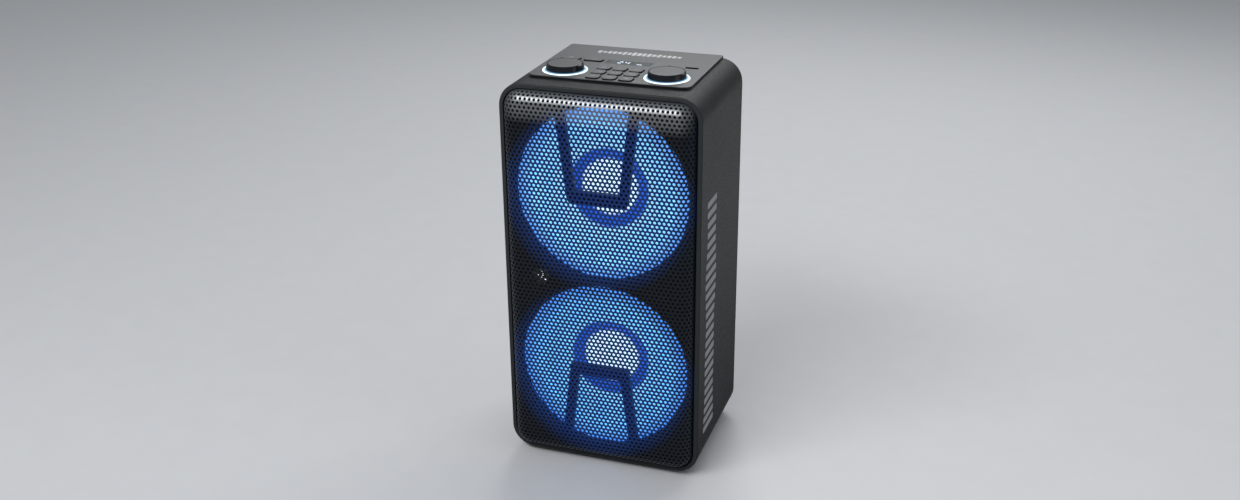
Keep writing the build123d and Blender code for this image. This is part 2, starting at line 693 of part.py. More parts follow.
with BuildPart() as mic_jack:
    with BuildSketch(front_plane(REAR_PANEL_FRONT_Y - 1.5, SOCKET_Z)):
        with Locations((MIC_X, 0)):
            Rectangle(MIC_BODY, MIC_BODY)
    extrude(amount=REAR_PANEL_FRONT_Y - 1.5 - BOARD_BACK_Y)
    with BuildSketch(front_plane(REAR_PANEL_BACK_Y, SOCKET_Z)):
        with Locations((MIC_X, 0)):
            Circle(MIC_NOSE_RADIUS)
    extrude(amount=REAR_PANEL_BACK_Y - REAR_PANEL_FRONT_Y + 1.5)
    with BuildSketch(front_plane(REAR_PANEL_BACK_Y, SOCKET_Z)):
        with Locations((MIC_X, 0)):
            Circle(MIC_BORE_RADIUS)
    extrude(amount=MIC_BORE_DEPTH, mode=Mode.SUBTRACT)
save(mic_jack.part, "mic_jack")

with BuildPart() as dc_socket:
    with BuildSketch(front_plane(REAR_PANEL_FRONT_Y - 1.5, SOCKET_Z)):
        with Locations((DC_X, 0)):
            Rectangle(*DC_BODY)
    extrude(amount=REAR_PANEL_FRONT_Y - 1.5 - BOARD_BACK_Y)
    with BuildSketch(front_plane(REAR_PANEL_BACK_Y, SOCKET_Z)):
        with Locations((DC_X, 0)):
            Circle(DC_NOSE_RADIUS)
    extrude(amount=REAR_PANEL_BACK_Y - REAR_PANEL_FRONT_Y + 1.5)
    with BuildSketch(front_plane(REAR_PANEL_BACK_Y, SOCKET_Z)):
        with Locations((DC_X, 0)):
            Circle(DC_BORE_RADIUS)
    extrude(amount=DC_BORE_DEPTH, mode=Mode.SUBTRACT)
    # The centre pin stands a little below the nose.
    with BuildSketch(front_plane(REAR_PANEL_BACK_Y - 1.5, SOCKET_Z)):
        with Locations((DC_X, 0)):
            Circle(1.0)
    extrude(amount=DC_BORE_DEPTH - 1)
save(dc_socket.part, "dc_socket")

with BuildPart() as main_board:
    with BuildSketch(front_plane(BOARD_BACK_Y, SOCKET_Z)):
        RectangleRounded(*MAIN_BOARD_SIZE, 2)
    extrude(amount=BOARD_THICKNESS)
    with BuildSketch(front_plane(MAIN_BOARD_Y, SOCKET_Z)):
        with Locations((22, 8), (34, 8), (46, -12)):
            Circle(4.5)
    extrude(amount=13)
    with BuildSketch(front_plane(MAIN_BOARD_Y, SOCKET_Z)):
        with Locations((28, -14)):
            Rectangle(14, 14)
    extrude(amount=3)
save(main_board.part, "main_board")

with BuildPart() as heat_sink:
    with BuildSketch(front_plane(MAIN_BOARD_Y, SOCKET_Z)):
        with Locations((HEAT_SINK_X, 0)):
            Rectangle(*HEAT_SINK_SIZE)
    extrude(amount=3)
    with BuildSketch(front_plane(MAIN_BOARD_Y - 3, SOCKET_Z)):
        with Locations((HEAT_SINK_X, 0)):
            with GridLocations(FIN_PITCH, 0, 7, 1):
                Rectangle(FIN_THICKNESS, HEAT_SINK_SIZE[1])
    extrude(amount=12)
save(heat_sink.part, "heat_sink")

with BuildPart() as battery_pack:
    with BuildSketch(Plane.YZ.offset(-CELL_LENGTH / 2)):
        with Locations((22, BASE_Z + WALL + CELL_DIAMETER / 2)):
            SlotOverall(2 * CELL_DIAMETER - 0.8, CELL_DIAMETER)
    extrude(amount=CELL_LENGTH)
save(battery_pack.part, "battery_pack")

# ---------------------------------------------------------------- control panel
PANEL_MIDDLE_Y = (PANEL_FRONT_Y + PANEL_BACK_Y) / 2
KEY_POINTS = {
    name: ((column - 1) * KEY_PITCH_X, KEY_MIDDLE_Y + (row - 1) * KEY_PITCH_Y)
    for row, names in enumerate(KEY_NAMES)
    for column, name in enumerate(names)
}
WIDE_POINTS = {name: (x, ROW_Y + 0.5) for name, x in WIDE_KEYS.items()}
KNOB_POINTS = {"left": (-KNOB_X, KNOB_Y), "right": (KNOB_X, KNOB_Y)}

with BuildPart() as control_panel:
    with BuildSketch(Plane.XY.offset(TOP_Z)) as outline:
        with Locations((0, PANEL_MIDDLE_Y)):
            Rectangle(PANEL_WIDTH, PANEL_BACK_Y - PANEL_FRONT_Y)
        fillet(outline.vertices().group_by(Axis.Y)[0], PANEL_FRONT_CORNER)
        fillet(outline.vertices().group_by(Axis.Y)[-1], PANEL_BACK_CORNER)
    extrude(amount=PANEL_THICKNESS)
    fillet(control_panel.faces().sort_by(Axis.Z)[-1].edges(), PANEL_EDGE_RADIUS)
    # The skirt drops through the cabinet's cut-out and carries the control board.
    with BuildSketch(Plane.XY.offset(BOARD_TOP_Z)):
        with Locations((0, (CUTOUT_FRONT_Y + CUTOUT_BACK_Y) / 2)):
            RectangleRounded(
                CUTOUT_WIDTH - 2 * FIT_GAP, CUTOUT_BACK_Y - CUTOUT_FRONT_Y - 2 * FIT_GAP, 3.7
            )
            RectangleRounded(
                CUTOUT_WIDTH - 2 * FIT_GAP - 2 * SKIRT_THICKNESS,
                CUTOUT_BACK_Y - CUTOUT_FRONT_Y - 2 * FIT_GAP - 2 * SKIRT_THICKNESS,
                2.5,
                mode=Mode.SUBTRACT,
            )
    extrude(amount=TOP_Z - BOARD_TOP_Z)
    # A notch in the skirt's front wall clears the front row of keys.
    with BuildSketch(Plane.XY.offset(BOARD_TOP_Z)):
        with Locations((0, CUTOUT_FRONT_Y + FIT_GAP + SKIRT_THICKNESS / 2)):
            Rectangle(3 * KEY_PITCH_X + 4, SKIRT_THICKNESS + 0.2)
    extrude(amount=TOP_Z - BOARD_TOP_Z, mode=Mode.SUBTRACT)
    with BuildSketch(Plane.XY.offset(TOP_Z - WALL)):
        with Locations(*STUD_POINTS):
            Circle(STUD_RADIUS)
            Circle(SCREW_RADIUS, mode=Mode.SUBTRACT)
    extrude(amount=WALL)
    with BuildSketch(Plane.XY.offset(PANEL_TOP_Z)):
        with Locations(*KNOB_POINTS.values()):
            Circle(LIGHT_RING_RADIUS - LIGHT_RING_LEDGE)
        with Locations(*KEY_POINTS.values()):
            RectangleRounded(KEY_SIZE + 2 * KEY_GAP, KEY_SIZE + 2 * KEY_GAP, KEY_CORNER + KEY_GAP)
        with Locations(*WIDE_POINTS.values()):
            RectangleRounded(
                WIDE_KEY_LENGTH + 2 * KEY_GAP, WIDE_KEY_WIDTH + 2 * KEY_GAP, KEY_CORNER
            )
        with Locations((0, ROW_Y)):
            RectangleRounded(DISPLAY_WIDTH - 4, DISPLAY_DEPTH - 4, 1)
        with Locations((AUX_X, ROW_Y)):
            Circle(AUX_COLLAR_RADIUS + 0.1)
        with Locations((USB_X, ROW_Y)):
            RectangleRounded(USB_INNER[0], USB_INNER[1], 0.5)
    extrude(amount=-PANEL_THICKNESS, mode=Mode.SUBTRACT)
    with BuildSketch(Plane.XY.offset(PANEL_TOP_Z)):
        with Locations((0, ROW_Y)):
            RectangleRounded(DISPLAY_WIDTH + 0.2, DISPLAY_DEPTH + 0.2, DISPLAY_CORNER + 0.1)
    extrude(amount=-DISPLAY_LENS, mode=Mode.SUBTRACT)
    with BuildSketch(Plane.XY.offset(PANEL_TOP_Z)):
        with Locations(*KNOB_POINTS.values()):
            Circle(LIGHT_RING_RADIUS + 0.15)
    extrude(amount=LIGHT_RING_LEDGE_Z - PANEL_TOP_Z, mode=Mode.SUBTRACT)
save(control_panel.part, "control_panel")

with BuildPart() as panel_screws:
    with BuildSketch(Plane.XY.offset(TOP_Z - WALL)):
        with Locations(*STUD_POINTS):
            Circle(STUD_RADIUS + 2)
    extrude(amount=-2.0)
    with BuildSketch(Plane.XY.offset(TOP_Z - WALL)):
        with Locations(*STUD_POINTS):
            Circle(SCREW_RADIUS)
    extrude(amount=WALL - 0.5)
save(panel_screws.part, "panel_screws")

with BuildPart() as display_window:
    with BuildSketch(Plane.XY.offset(PANEL_TOP_Z - DISPLAY_LENS)):
        with Locations((0, ROW_Y)):
            RectangleRounded(DISPLAY_WIDTH, DISPLAY_DEPTH, DISPLAY_CORNER)
    extrude(amount=DISPLAY_LENS)
save(display_window.part, "display_window")

with BuildPart() as display_module:
    with BuildSketch(Plane.XY.offset(BOARD_TOP_Z)):
        with Locations((0, ROW_Y)):
            Rectangle(DISPLAY_WIDTH - 5, DISPLAY_DEPTH - 5)
    extrude(amount=PANEL_TOP_Z - DISPLAY_LENS - 0.4 - BOARD_TOP_Z)
save(display_module.part, "display_module")

with BuildPart() as control_board:
    with BuildSketch(Plane.XY.offset(BOARD_TOP_Z - BOARD_THICKNESS)):
        with Locations((0, (CUTOUT_FRONT_Y + CUTOUT_BACK_Y) / 2)):
            RectangleRounded(CUTOUT_WIDTH - 1, CUTOUT_BACK_Y - CUTOUT_FRONT_Y - 1, 3)
    extrude(amount=BOARD_THICKNESS)
save(control_board.part, "control_board")

with BuildPart() as keypad_mat:
    with BuildSketch(Plane.XY.offset(BOARD_TOP_Z)):
        with Locations((0, KEY_MIDDLE_Y)):
            RectangleRounded(3 * KEY_PITCH_X, 3 * KEY_PITCH_Y - 2, 3)
        with Locations(*WIDE_POINTS.values()):
            RectangleRounded(WIDE_KEY_LENGTH, WIDE_KEY_WIDTH, 2)
    extrude(amount=1.0)
    dome_height = KEY_STEM_BOTTOM_Z - KEY_TRAVEL - 0.15 - BOARD_TOP_Z
    with BuildSketch(Plane.XY.offset(BOARD_TOP_Z)):
        with Locations(*KEY_POINTS.values(), *WIDE_POINTS.values()):
            Circle(3.2)
    extrude(amount=dome_height, taper=6)
save(keypad_mat.part, "keypad_mat")


def make_key(length, width, point, label):
    """A push key: rounded cap, flange that keeps it under the panel, and a stem over its dome."""
    with BuildPart() as key:
        with BuildSketch(Plane.XY.offset(TOP_Z - 0.5)):
            with Locations(point):
                RectangleRounded(length, width, KEY_CORNER)
        extrude(amount=PANEL_THICKNESS + KEY_PROUD + 0.5)
        fillet(key.faces().sort_by(Axis.Z)[-1].edges(), 0.45)
        with BuildSketch(Plane.XY.offset(TOP_Z - 1.4)):
            with Locations(point):
                RectangleRounded(
                    length + 2 * KEY_FLANGE_EXTRA, width + 2 * KEY_FLANGE_EXTRA, KEY_CORNER
                )
        extrude(amount=1.0)
        with BuildSketch(Plane.XY.offset(KEY_STEM_BOTTOM_Z)):
            with Locations(point):
                Circle(2.4)
        extrude(amount=TOP_Z - 1.4 - KEY_STEM_BOTTOM_Z)
    save(key.part, label)


for key_name, key_point in KEY_POINTS.items():
    make_key(KEY_SIZE, KEY_SIZE, key_point, key_name)
for key_name, key_point in WIDE_POINTS.items():
    make_key(WIDE_KEY_LENGTH, WIDE_KEY_WIDTH, key_point, key_name)


# ---------------------------------------------------------------- knobs
RING_TOP_Z = PANEL_TOP_Z + LIGHT_RING_RISE
RING_WEB_Z = PANEL_TOP_Z - 1.0
BUSHING_RADIUS = 4.2
BUSHING_TOP_Z = RING_WEB_Z + 0.6
ENCODER_TOP_Z = BOARD_TOP_Z + 7.0
KNOB_BOTTOM_Z = RING_TOP_Z + KNOB_GAP
KNOB_TOP_Z = KNOB_BOTTOM_Z + KNOB_HEIGHT
CAP_RECESS = 0.8


def turned(point, points):
    """A solid turned about the vertical axis through a point of the panel, from (radius, z) pairs."""
    with BuildPart() as solid:
        with BuildSketch(Plane(origin=(*point, 0), x_dir=(1, 0, 0), z_dir=(0, -1, 0))):
            with BuildLine():
                Polyline(*points, close=True)
            make_face()
        revolve(axis=Axis((*point, 0), (0, 0, 1)))
    return solid.part


def encoder_housing(point):
    with BuildPart() as housing:
        with BuildSketch(Plane.XY.offset(BOARD_TOP_Z)):
            with Locations(point):
                Rectangle(12.5, 12.5)
        extrude(amount=ENCODER_TOP_Z - BOARD_TOP_Z)
        with BuildSketch(Plane.XY.offset(ENCODER_TOP_Z)):
            with Locations(point):
                Circle(BUSHING_RADIUS)
        extrude(amount=BUSHING_TOP_Z - ENCODER_TOP_Z)
        with BuildSketch(Plane.XY.offset(BOARD_TOP_Z + 1.5)):
            with Locations(point):
                Circle(SHAFT_RADIUS + SHAFT_CLEARANCE)
        extrude(amount=BUSHING_TOP_Z - BOARD_TOP_Z, mode=Mode.SUBTRACT)
    return housing.part


save(Compound(children=[encoder_housing(p) for p in KNOB_POINTS.values()]), "encoder_housings")

for side_name, knob_point in KNOB_POINTS.items():
    light_ring = [
        (5.0, LIGHT_RING_LEDGE_Z),
        (LIGHT_RING_RADIUS, LIGHT_RING_LEDGE_Z),
        (LIGHT_RING_RADIUS, RING_TOP_Z - 0.4),
        (LIGHT_RING_RADIUS - 0.4, RING_TOP_Z),
        (LIGHT_RING_STEP_RADIUS, RING_TOP_Z),
        (LIGHT_RING_STEP_RADIUS, RING_WEB_Z),
        (5.0, RING_WEB_Z),
    ]
    save(turned(knob_point, light_ring), f"{side_name}_light_ring")
    knob = [
        (SHAFT_RADIUS, KNOB_BOTTOM_Z - 1.2),
        (6.0, KNOB_BOTTOM_Z - 1.2),
        (6.0, KNOB_BOTTOM_Z + 3.0),
        (KNOB_CAP_RADIUS, KNOB_BOTTOM_Z + 3.0),
        (KNOB_CAP_RADIUS, KNOB_BOTTOM_Z),
        (KNOB_BASE_RADIUS - 0.3, KNOB_BOTTOM_Z),
        (KNOB_BASE_RADIUS, KNOB_BOTTOM_Z + 0.3),
        (KNOB_TOP_RADIUS, KNOB_TOP_Z - 0.6),
        (KNOB_TOP_RADIUS - 0.6, KNOB_TOP_Z),
        (KNOB_CAP_RADIUS + 0.1, KNOB_TOP_Z),
        (KNOB_CAP_RADIUS + 0.1, KNOB_TOP_Z - CAP_RECESS),
        (SHAFT_RADIUS, KNOB_TOP_Z - CAP_RECESS),
    ]
    save(turned(knob_point, knob), f"{side_name}_knob")
    cap = [
        (0, KNOB_TOP_Z - CAP_RECESS),
        (KNOB_CAP_RADIUS, KNOB_TOP_Z - CAP_RECESS),
        (KNOB_CAP_RADIUS, KNOB_TOP_Z - 0.25),
        (KNOB_CAP_RADIUS - 0.2, KNOB_TOP_Z - 0.05),
        (0, KNOB_TOP_Z - 0.05),
    ]
    save(turned(knob_point, cap), f"{side_name}_knob_cap")
    shaft = [
        (0, BOARD_TOP_Z + 1.8),
        (SHAFT_RADIUS, BOARD_TOP_Z + 1.8),
        (SHAFT_RADIUS, KNOB_TOP_Z - CAP_RECESS),
        (0, KNOB_TOP_Z - CAP_RECESS),
    ]
    save(turned(knob_point, shaft), f"{side_name}_encoder_shaft")

# ---------------------------------------------------------------- top sockets
with BuildPart() as usb_port:
    shell_wall = 0.4
    with BuildSketch(Plane.XY.offset(BOARD_TOP_Z)):
        with Locations((USB_X, ROW_Y)):
            Rectangle(USB_INNER[0] + 2 * shell_wall, USB_INNER[1] + 2 * shell_wall)
    extrude(amount=TOP_Z - BOARD_TOP_Z)
    with BuildSketch(Plane.XY.offset(TOP_Z)):
        with Locations((USB_X, ROW_Y)):
            Rectangle(*USB_INNER)
    extrude(amount=-(TOP_Z - BOARD_TOP_Z - 1.5), mode=Mode.SUBTRACT)
    with BuildSketch(Plane.XY.offset(BOARD_TOP_Z + 1.0)):
        with Locations((USB_X, ROW_Y + 0.9)):
            Rectangle(11.0, 1.9)
    extrude(amount=TOP_Z - 1.0 - BOARD_TOP_Z - 1.0)
save(usb_port.part, "usb_port")

with BuildPart() as aux_jack:
    with BuildSketch(Plane.XY.offset(BOARD_TOP_Z)):
        with Locations((AUX_X, ROW_Y)):
            Rectangle(8, 8)
    extrude(amount=TOP_Z - 0.5 - BOARD_TOP_Z)
    with BuildSketch(Plane.XY.offset(TOP_Z - 0.5)):
        with Locations((AUX_X, ROW_Y)):
            Circle(AUX_COLLAR_RADIUS)
    extrude(amount=PANEL_THICKNESS + 0.3)
    with BuildSketch(Plane.XY.offset(PANEL_TOP_Z)):
        with Locations((AUX_X, ROW_Y)):
            Circle(AUX_BORE_RADIUS)
    extrude(amount=-14.2, mode=Mode.SUBTRACT)
save(aux_jack.part, "aux_jack")

# ---------------------------------------------------------------- speaker leads
LEAD_RADIUS = 1.3
LEAD_X = 49.0
LEAD_BOARD_Z = SOCKET_Z + 22.0


def arc_radii(points):
    """Bend radii as large as each corner's two runs allow."""
    radii = []
    for before, corner, after in zip(points, points[1:], points[2:]):
        arriving, leaving = Vector(*corner) - Vector(*before), Vector(*after) - Vector(*corner)
        turn = arriving.get_angle(leaving)
        shorter = min(arriving.length, leaving.length)
        radii.append(0.45 * shorter / tan(radians(turn / 2)))
    print("lead bend radii", [round(r, 1) for r in radii])
    return radii


def make_lead(points):
    with BuildPart() as lead:
        with BuildLine() as route:
            FilletPolyline(*points, radius=arc_radii(points))
        with BuildSketch(Plane(origin=route.wire() @ 0, z_dir=route.wire() % 0)):
            Circle(LEAD_RADIUS)
        sweep()
    print("lead length", round(route.wire().length, 1), "volume", round(lead.part.volume, 1))
    return lead.part


BASKET_BACK_Y = DRIVER_Y + BASKET_REAR_DEPTH
lower_lead = make_lead(
    [
        (LEAD_X - 3, MAIN_BOARD_Y, LEAD_BOARD_Z),
        (LEAD_X - 3, MAIN_BOARD_Y - 16, LEAD_BOARD_Z),
        (LEAD_X - 1, MAIN_BOARD_Y - 36, LEAD_BOARD_Z + 9),
        (LEAD_X - 4, BASKET_BACK_Y + 16, LOWER_Z),
        (LEAD_X - 4, BASKET_BACK_Y, LOWER_Z),
    ]
)
upper_lead = make_lead(
    [
        (LEAD_X - 12, MAIN_BOARD_Y, LEAD_BOARD_Z),
        (LEAD_X - 12, MAIN_BOARD_Y - 13, LEAD_BOARD_Z),
        (LEAD_X - 7, MAIN_BOARD_Y - 22, LEAD_BOARD_Z + 16),
        (LEAD_X, MAIN_BOARD_Y - 20, LEAD_BOARD_Z + 45),
        (LEAD_X + 3, MAIN_BOARD_Y - 22, LEAD_BOARD_Z + 90),
        (LEAD_X + 1, MAIN_BOARD_Y - 30, LEAD_BOARD_Z + 135),
        (LEAD_X - 2, MAIN_BOARD_Y - 44, UPPER_Z - 20),
        (LEAD_X - 4, BASKET_BACK_Y + 14, UPPER_Z),
        (LEAD_X - 4, BASKET_BACK_Y, UPPER_Z),
    ]
)
save(Compound(children=[lower_lead, upper_lead]), "speaker_leads")
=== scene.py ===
"""Looks of the lit party speaker: camera, light, materials, and the pieces that plain solids stand in for.

Metres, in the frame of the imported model: +Z is up, the grille faces -Y and X runs to the right.
"""

from math import cos, pi, radians, sin, sqrt

import bmesh
import bpy
import numpy as np
from mathutils import Matrix, Vector


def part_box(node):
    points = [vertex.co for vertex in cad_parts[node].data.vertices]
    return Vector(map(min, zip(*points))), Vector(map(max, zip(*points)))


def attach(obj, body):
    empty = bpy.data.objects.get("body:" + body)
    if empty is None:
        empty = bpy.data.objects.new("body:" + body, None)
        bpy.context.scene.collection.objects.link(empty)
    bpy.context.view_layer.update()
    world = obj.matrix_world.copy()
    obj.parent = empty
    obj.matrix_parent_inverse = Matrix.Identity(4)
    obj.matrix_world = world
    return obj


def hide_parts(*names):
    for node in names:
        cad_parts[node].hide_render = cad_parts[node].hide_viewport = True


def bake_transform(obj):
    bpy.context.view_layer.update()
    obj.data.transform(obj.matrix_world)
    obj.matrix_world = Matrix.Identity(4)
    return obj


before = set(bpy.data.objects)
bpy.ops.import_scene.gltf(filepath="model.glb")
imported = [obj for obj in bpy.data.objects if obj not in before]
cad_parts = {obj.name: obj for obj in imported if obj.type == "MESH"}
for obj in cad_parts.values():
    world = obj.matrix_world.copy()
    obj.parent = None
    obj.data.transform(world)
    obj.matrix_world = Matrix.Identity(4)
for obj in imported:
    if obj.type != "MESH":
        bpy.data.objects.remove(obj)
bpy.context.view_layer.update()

MM = 0.001
HOUSING = "housing"

cabinet_low, cabinet_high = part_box("cabinet")
panel_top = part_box("control_panel")[1].z
front_y = cabinet_low.y
middle_z = (cabinet_low.z + cabinet_high.z) / 2


def centre_of(node):
    low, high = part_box(node)
    return (low + high) / 2


# ---------------------------------------------------------------- materials
def new_material(name):
    material = bpy.data.materials.new(name)
    material.use_nodes = True
    return material, material.node_tree, material.node_tree.nodes["Principled BSDF"]


def object_coordinates(tree):
    return tree.nodes.new("ShaderNodeTexCoord").outputs["Object"]


def noise(tree, vector, size, detail=3.0):
    """Noise whose features are about size metres across."""
    node = tree.nodes.new("ShaderNodeTexNoise")
    node.inputs["Scale"].default_value = 1 / size
    node.inputs["Detail"].default_value = detail
    tree.links.new(vector, node.inputs["Vector"])
    return node.outputs["Fac"]


def spread(tree, value, low, high, from_low=0.3, from_high=0.7):
    node = tree.nodes.new("ShaderNodeMapRange")
    node.inputs["From Min"].default_value = from_low
    node.inputs["From Max"].default_value = from_high
    node.inputs["To Min"].default_value = low
    node.inputs["To Max"].default_value = high
    tree.links.new(value, node.inputs["Value"])
    return node.outputs["Result"]


def mixed(tree, factor, first, second):
    """A colour between first and second. Each is a colour or another node's colour output."""
    node = tree.nodes.new("ShaderNodeMix")
    node.data_type = "RGBA"
    tree.links.new(factor, node.inputs["Factor"])
    for socket, colour in ((node.inputs[6], first), (node.inputs[7], second)):
        if isinstance(colour, bpy.types.NodeSocket):
            tree.links.new(colour, socket)
        else:
            socket.default_value = (*colour, 1)
    return node.outputs[2]


def arithmetic(tree, operation, *values):
    node = tree.nodes.new("ShaderNodeMath")
    node.operation = operation
    for socket, value in zip(node.inputs, values):
        tree.links.new(value, socket)
    return node.outputs[0]


def axes(tree, vector):
    """The X, Y and Z of a vector, by name."""
    split = tree.nodes.new("ShaderNodeSeparateXYZ")
    tree.links.new(vector, split.inputs["Vector"])
    return split.outputs


def away_from(tree, place, centre):
    offset = tree.nodes.new("ShaderNodeVectorMath")
    offset.operation = "SUBTRACT"
    offset.inputs[1].default_value = centre
    tree.links.new(place, offset.inputs[0])
    return offset.outputs["Vector"]


def bumped(tree, shader, height, strength, distance):
    node = tree.nodes.new("ShaderNodeBump")
    node.inputs["Strength"].default_value = strength
    node.inputs["Distance"].default_value = distance
    tree.links.new(height, node.inputs["Height"])
    tree.links.new(node.outputs["Normal"], shader.inputs["Normal"])


def moulded(
    name,
    colour,
    roughness=0.5,
    grain=0.6 * MM,
    depth=0.04 * MM,
    mottle=0.08,
    coat=0.0,
    metallic=0.0,
    shine=0.5,
):
    """Moulded, painted or cast stock: a fine grain, uneven gloss and a slow drift of colour."""
    material, tree, shader = new_material(name)
    place = object_coordinates(tree)
    fine = noise(tree, place, grain)
    slow = noise(tree, place, 35 * MM, 2)
    dark = [c * (1 - mottle) for c in colour]
    light = [c * (1 + mottle) for c in colour]
    tree.links.new(mixed(tree, spread(tree, slow, 0, 1), dark, light), shader.inputs["Base Color"])
    tree.links.new(spread(tree, fine, roughness - 0.05, roughness + 0.05), shader.inputs["Roughness"])
    bumped(tree, shader, fine, 0.6, depth)
    shader.inputs["Metallic"].default_value = metallic
    shader.inputs["Specular IOR Level"].default_value = shine
    shader.inputs["Coat Weight"].default_value = coat
    shader.inputs["Coat Roughness"].default_value = 0.12
    return material


def shell_material():
    """Leather-grained dark moulding, lighter on its flat front edge, and darker and duller towards the
    floor as painted shade.
    """
    material, tree, shader = new_material("shell_plastic_look")
    place = object_coordinates(tree)
    grain = tree.nodes.new("ShaderNodeTexVoronoi")
    grain.feature = "SMOOTH_F1"
    grain.inputs["Scale"].default_value = 1 / (1.5 * MM)
    tree.links.new(place, grain.inputs["Vector"])
    along = axes(tree, place)
    on_edge = spread(tree, along["Y"], 1, 0, front_y + 0.25 * MM, front_y + 0.8 * MM)
    slow = noise(tree, place, 40 * MM, 2)
    # painted shade: the body colour fades to near-black towards the floor
    height = spread(tree, along["Z"], 0, 1, cabinet_low.z, cabinet_high.z - 90 * MM)
    body = mixed(tree, spread(tree, slow, 0, 1), (0.012, 0.014, 0.015), (0.019, 0.022, 0.023))
    body = mixed(tree, height, (0.003, 0.004, 0.004), body)
    tree.links.new(mixed(tree, on_edge, body, (0.030, 0.034, 0.036)), shader.inputs["Base Color"])
    pebbles = grain.outputs["Distance"]
    tree.links.new(spread(tree, pebbles, 0.40, 0.58, 0.0, 0.7), shader.inputs["Roughness"])
    bumped(tree, shader, pebbles, 0.6, 0.16 * MM)
    # painted shade: reflections weaken towards the floor
    tree.links.new(spread(tree, height, 0.05, 0.22, 0, 1), shader.inputs["Specular IOR Level"])
    return material


def brushed(name, colour, roughness=0.3):
    """Turned or rolled metal with fine lines across its length."""
    material, tree, shader = new_material(name)
    stretch = tree.nodes.new("ShaderNodeMapping")
    stretch.inputs["Scale"].default_value = (1, 1, 14)
    tree.links.new(object_coordinates(tree), stretch.inputs["Vector"])
    lines = noise(tree, stretch.outputs["Vector"], 0.9 * MM)
    dark = [c * 0.86 for c in colour]
    tree.links.new(mixed(tree, spread(tree, lines, 0, 1), dark, colour), shader.inputs["Base Color"])
    tree.links.new(spread(tree, lines, roughness - 0.08, roughness + 0.08), shader.inputs["Roughness"])
    bumped(tree, shader, lines, 0.3, 0.02 * MM)
    shader.inputs["Metallic"].default_value = 1.0
    return material


def axis_distance(tree, place, centre, across):
    """Distance from a line through centre. across is 1 in the two directions square to the line."""
    flat = tree.nodes.new("ShaderNodeVectorMath")
    flat.operation = "MULTIPLY"
    flat.inputs[1].default_value = across
    tree.links.new(away_from(tree, place, centre), flat.inputs[0])
    length = tree.nodes.new("ShaderNodeVectorMath")
    length.operation = "LENGTH"
    tree.links.new(flat.outputs["Vector"], length.inputs[0])
    return length.outputs["Value"]


def lit_from_behind(name, centre, across, span, stops, strength, roughness=0.4):
    """A translucent moulding that glows. stops are (distance in metres from its axis, colour)."""
    material, tree, shader = new_material(name)
    place = object_coordinates(tree)
    radius = axis_distance(tree, place, centre, across)
    ramp = tree.nodes.new("ShaderNodeValToRGB")
    tree.links.new(spread(tree, radius, 0, 1, 0, span), ramp.inputs["Fac"])
    elements = ramp.color_ramp.elements
    while len(elements) < len(stops):
        elements.new(0.5)
    for element, (reach, colour) in zip(elements, stops):
        element.position = reach / span
        element.color = (*colour, 1)
    cloud = noise(tree, place, 16 * MM, 3)
    dimmed = tree.nodes.new("ShaderNodeMix")
    dimmed.data_type = "RGBA"
    dimmed.blend_type = "MULTIPLY"
    dimmed.inputs["Factor"].default_value = 1.0
    tree.links.new(ramp.outputs["Color"], dimmed.inputs[6])
    tree.links.new(
        mixed(tree, spread(tree, cloud, 0, 1), (0.80, 0.84, 0.90), (1, 1, 1)), dimmed.inputs[7]
    )
    tree.links.new(dimmed.outputs[2], shader.inputs["Emission Color"])
    shader.inputs["Emission Strength"].default_value = strength
    tree.links.new(dimmed.outputs[2], shader.inputs["Base Color"])
    tree.links.new(spread(tree, cloud, roughness - 0.06, roughness + 0.06), shader.inputs["Roughness"])
    bumped(tree, shader, noise(tree, place, 0.8 * MM), 0.3, 0.03 * MM)
    return material


def glowing(name, colour, strength):
    """An evenly lit part, a little cloudy."""
    material, tree, shader = new_material(name)
    cloud = noise(tree, object_coordinates(tree), 6 * MM, 2)
    dark = [c * 0.86 for c in colour]
    tint = mixed(tree, spread(tree, cloud, 0, 1), dark, colour)
    tree.links.new(tint, shader.inputs["Emission Color"])
    tree.links.new(tint, shader.inputs["Base Color"])
    shader.inputs["Emission Strength"].default_value = strength
    shader.inputs["Roughness"].default_value = 0.35
    return material


def woven(name, colour, pitch):
    """Resin-stiffened cloth: two sets of threads."""
    material, tree, shader = new_material(name)
    place = object_coordinates(tree)
    threads = []
    for direction in ("X", "Z"):
        wave = tree.nodes.new("ShaderNodeTexWave")
        wave.bands_direction = direction
        wave.inputs["Scale"].default_value = 0.3 / pitch
        wave.inputs["Distortion"].default_value = 0.4
        tree.links.new(place, wave.inputs["Vector"])
        threads.append(wave.outputs["Fac"])
    highest = arithmetic(tree, "MAXIMUM", *threads)
    dark = [c * 0.5 for c in colour]
    tree.links.new(mixed(tree, highest, dark, colour), shader.inputs["Base Color"])
    shader.inputs["Roughness"].default_value = 0.85
    bumped(tree, shader, highest, 0.7, 0.1 * MM)
    return material


# The drivers' light, from the white dust cap to the deep blue outer edge, with a dark band painted round
# the cone's neck as painted shade.
LIT_WHITE = (0.78, 1.0, 1.0)
LIT_PALE = (0.38, 0.77, 1.0)
LIT_SKY = (0.28, 0.70, 1.0)
LIT_BLUE = (0.07, 0.27, 0.90)
LIT_NECK_SHADE = (0.012, 0.085, 0.52)
OUTER_TINTS = {"upper": (1.0, 1.0, 1.0), "lower": (0.66, 0.86, 1.0)}


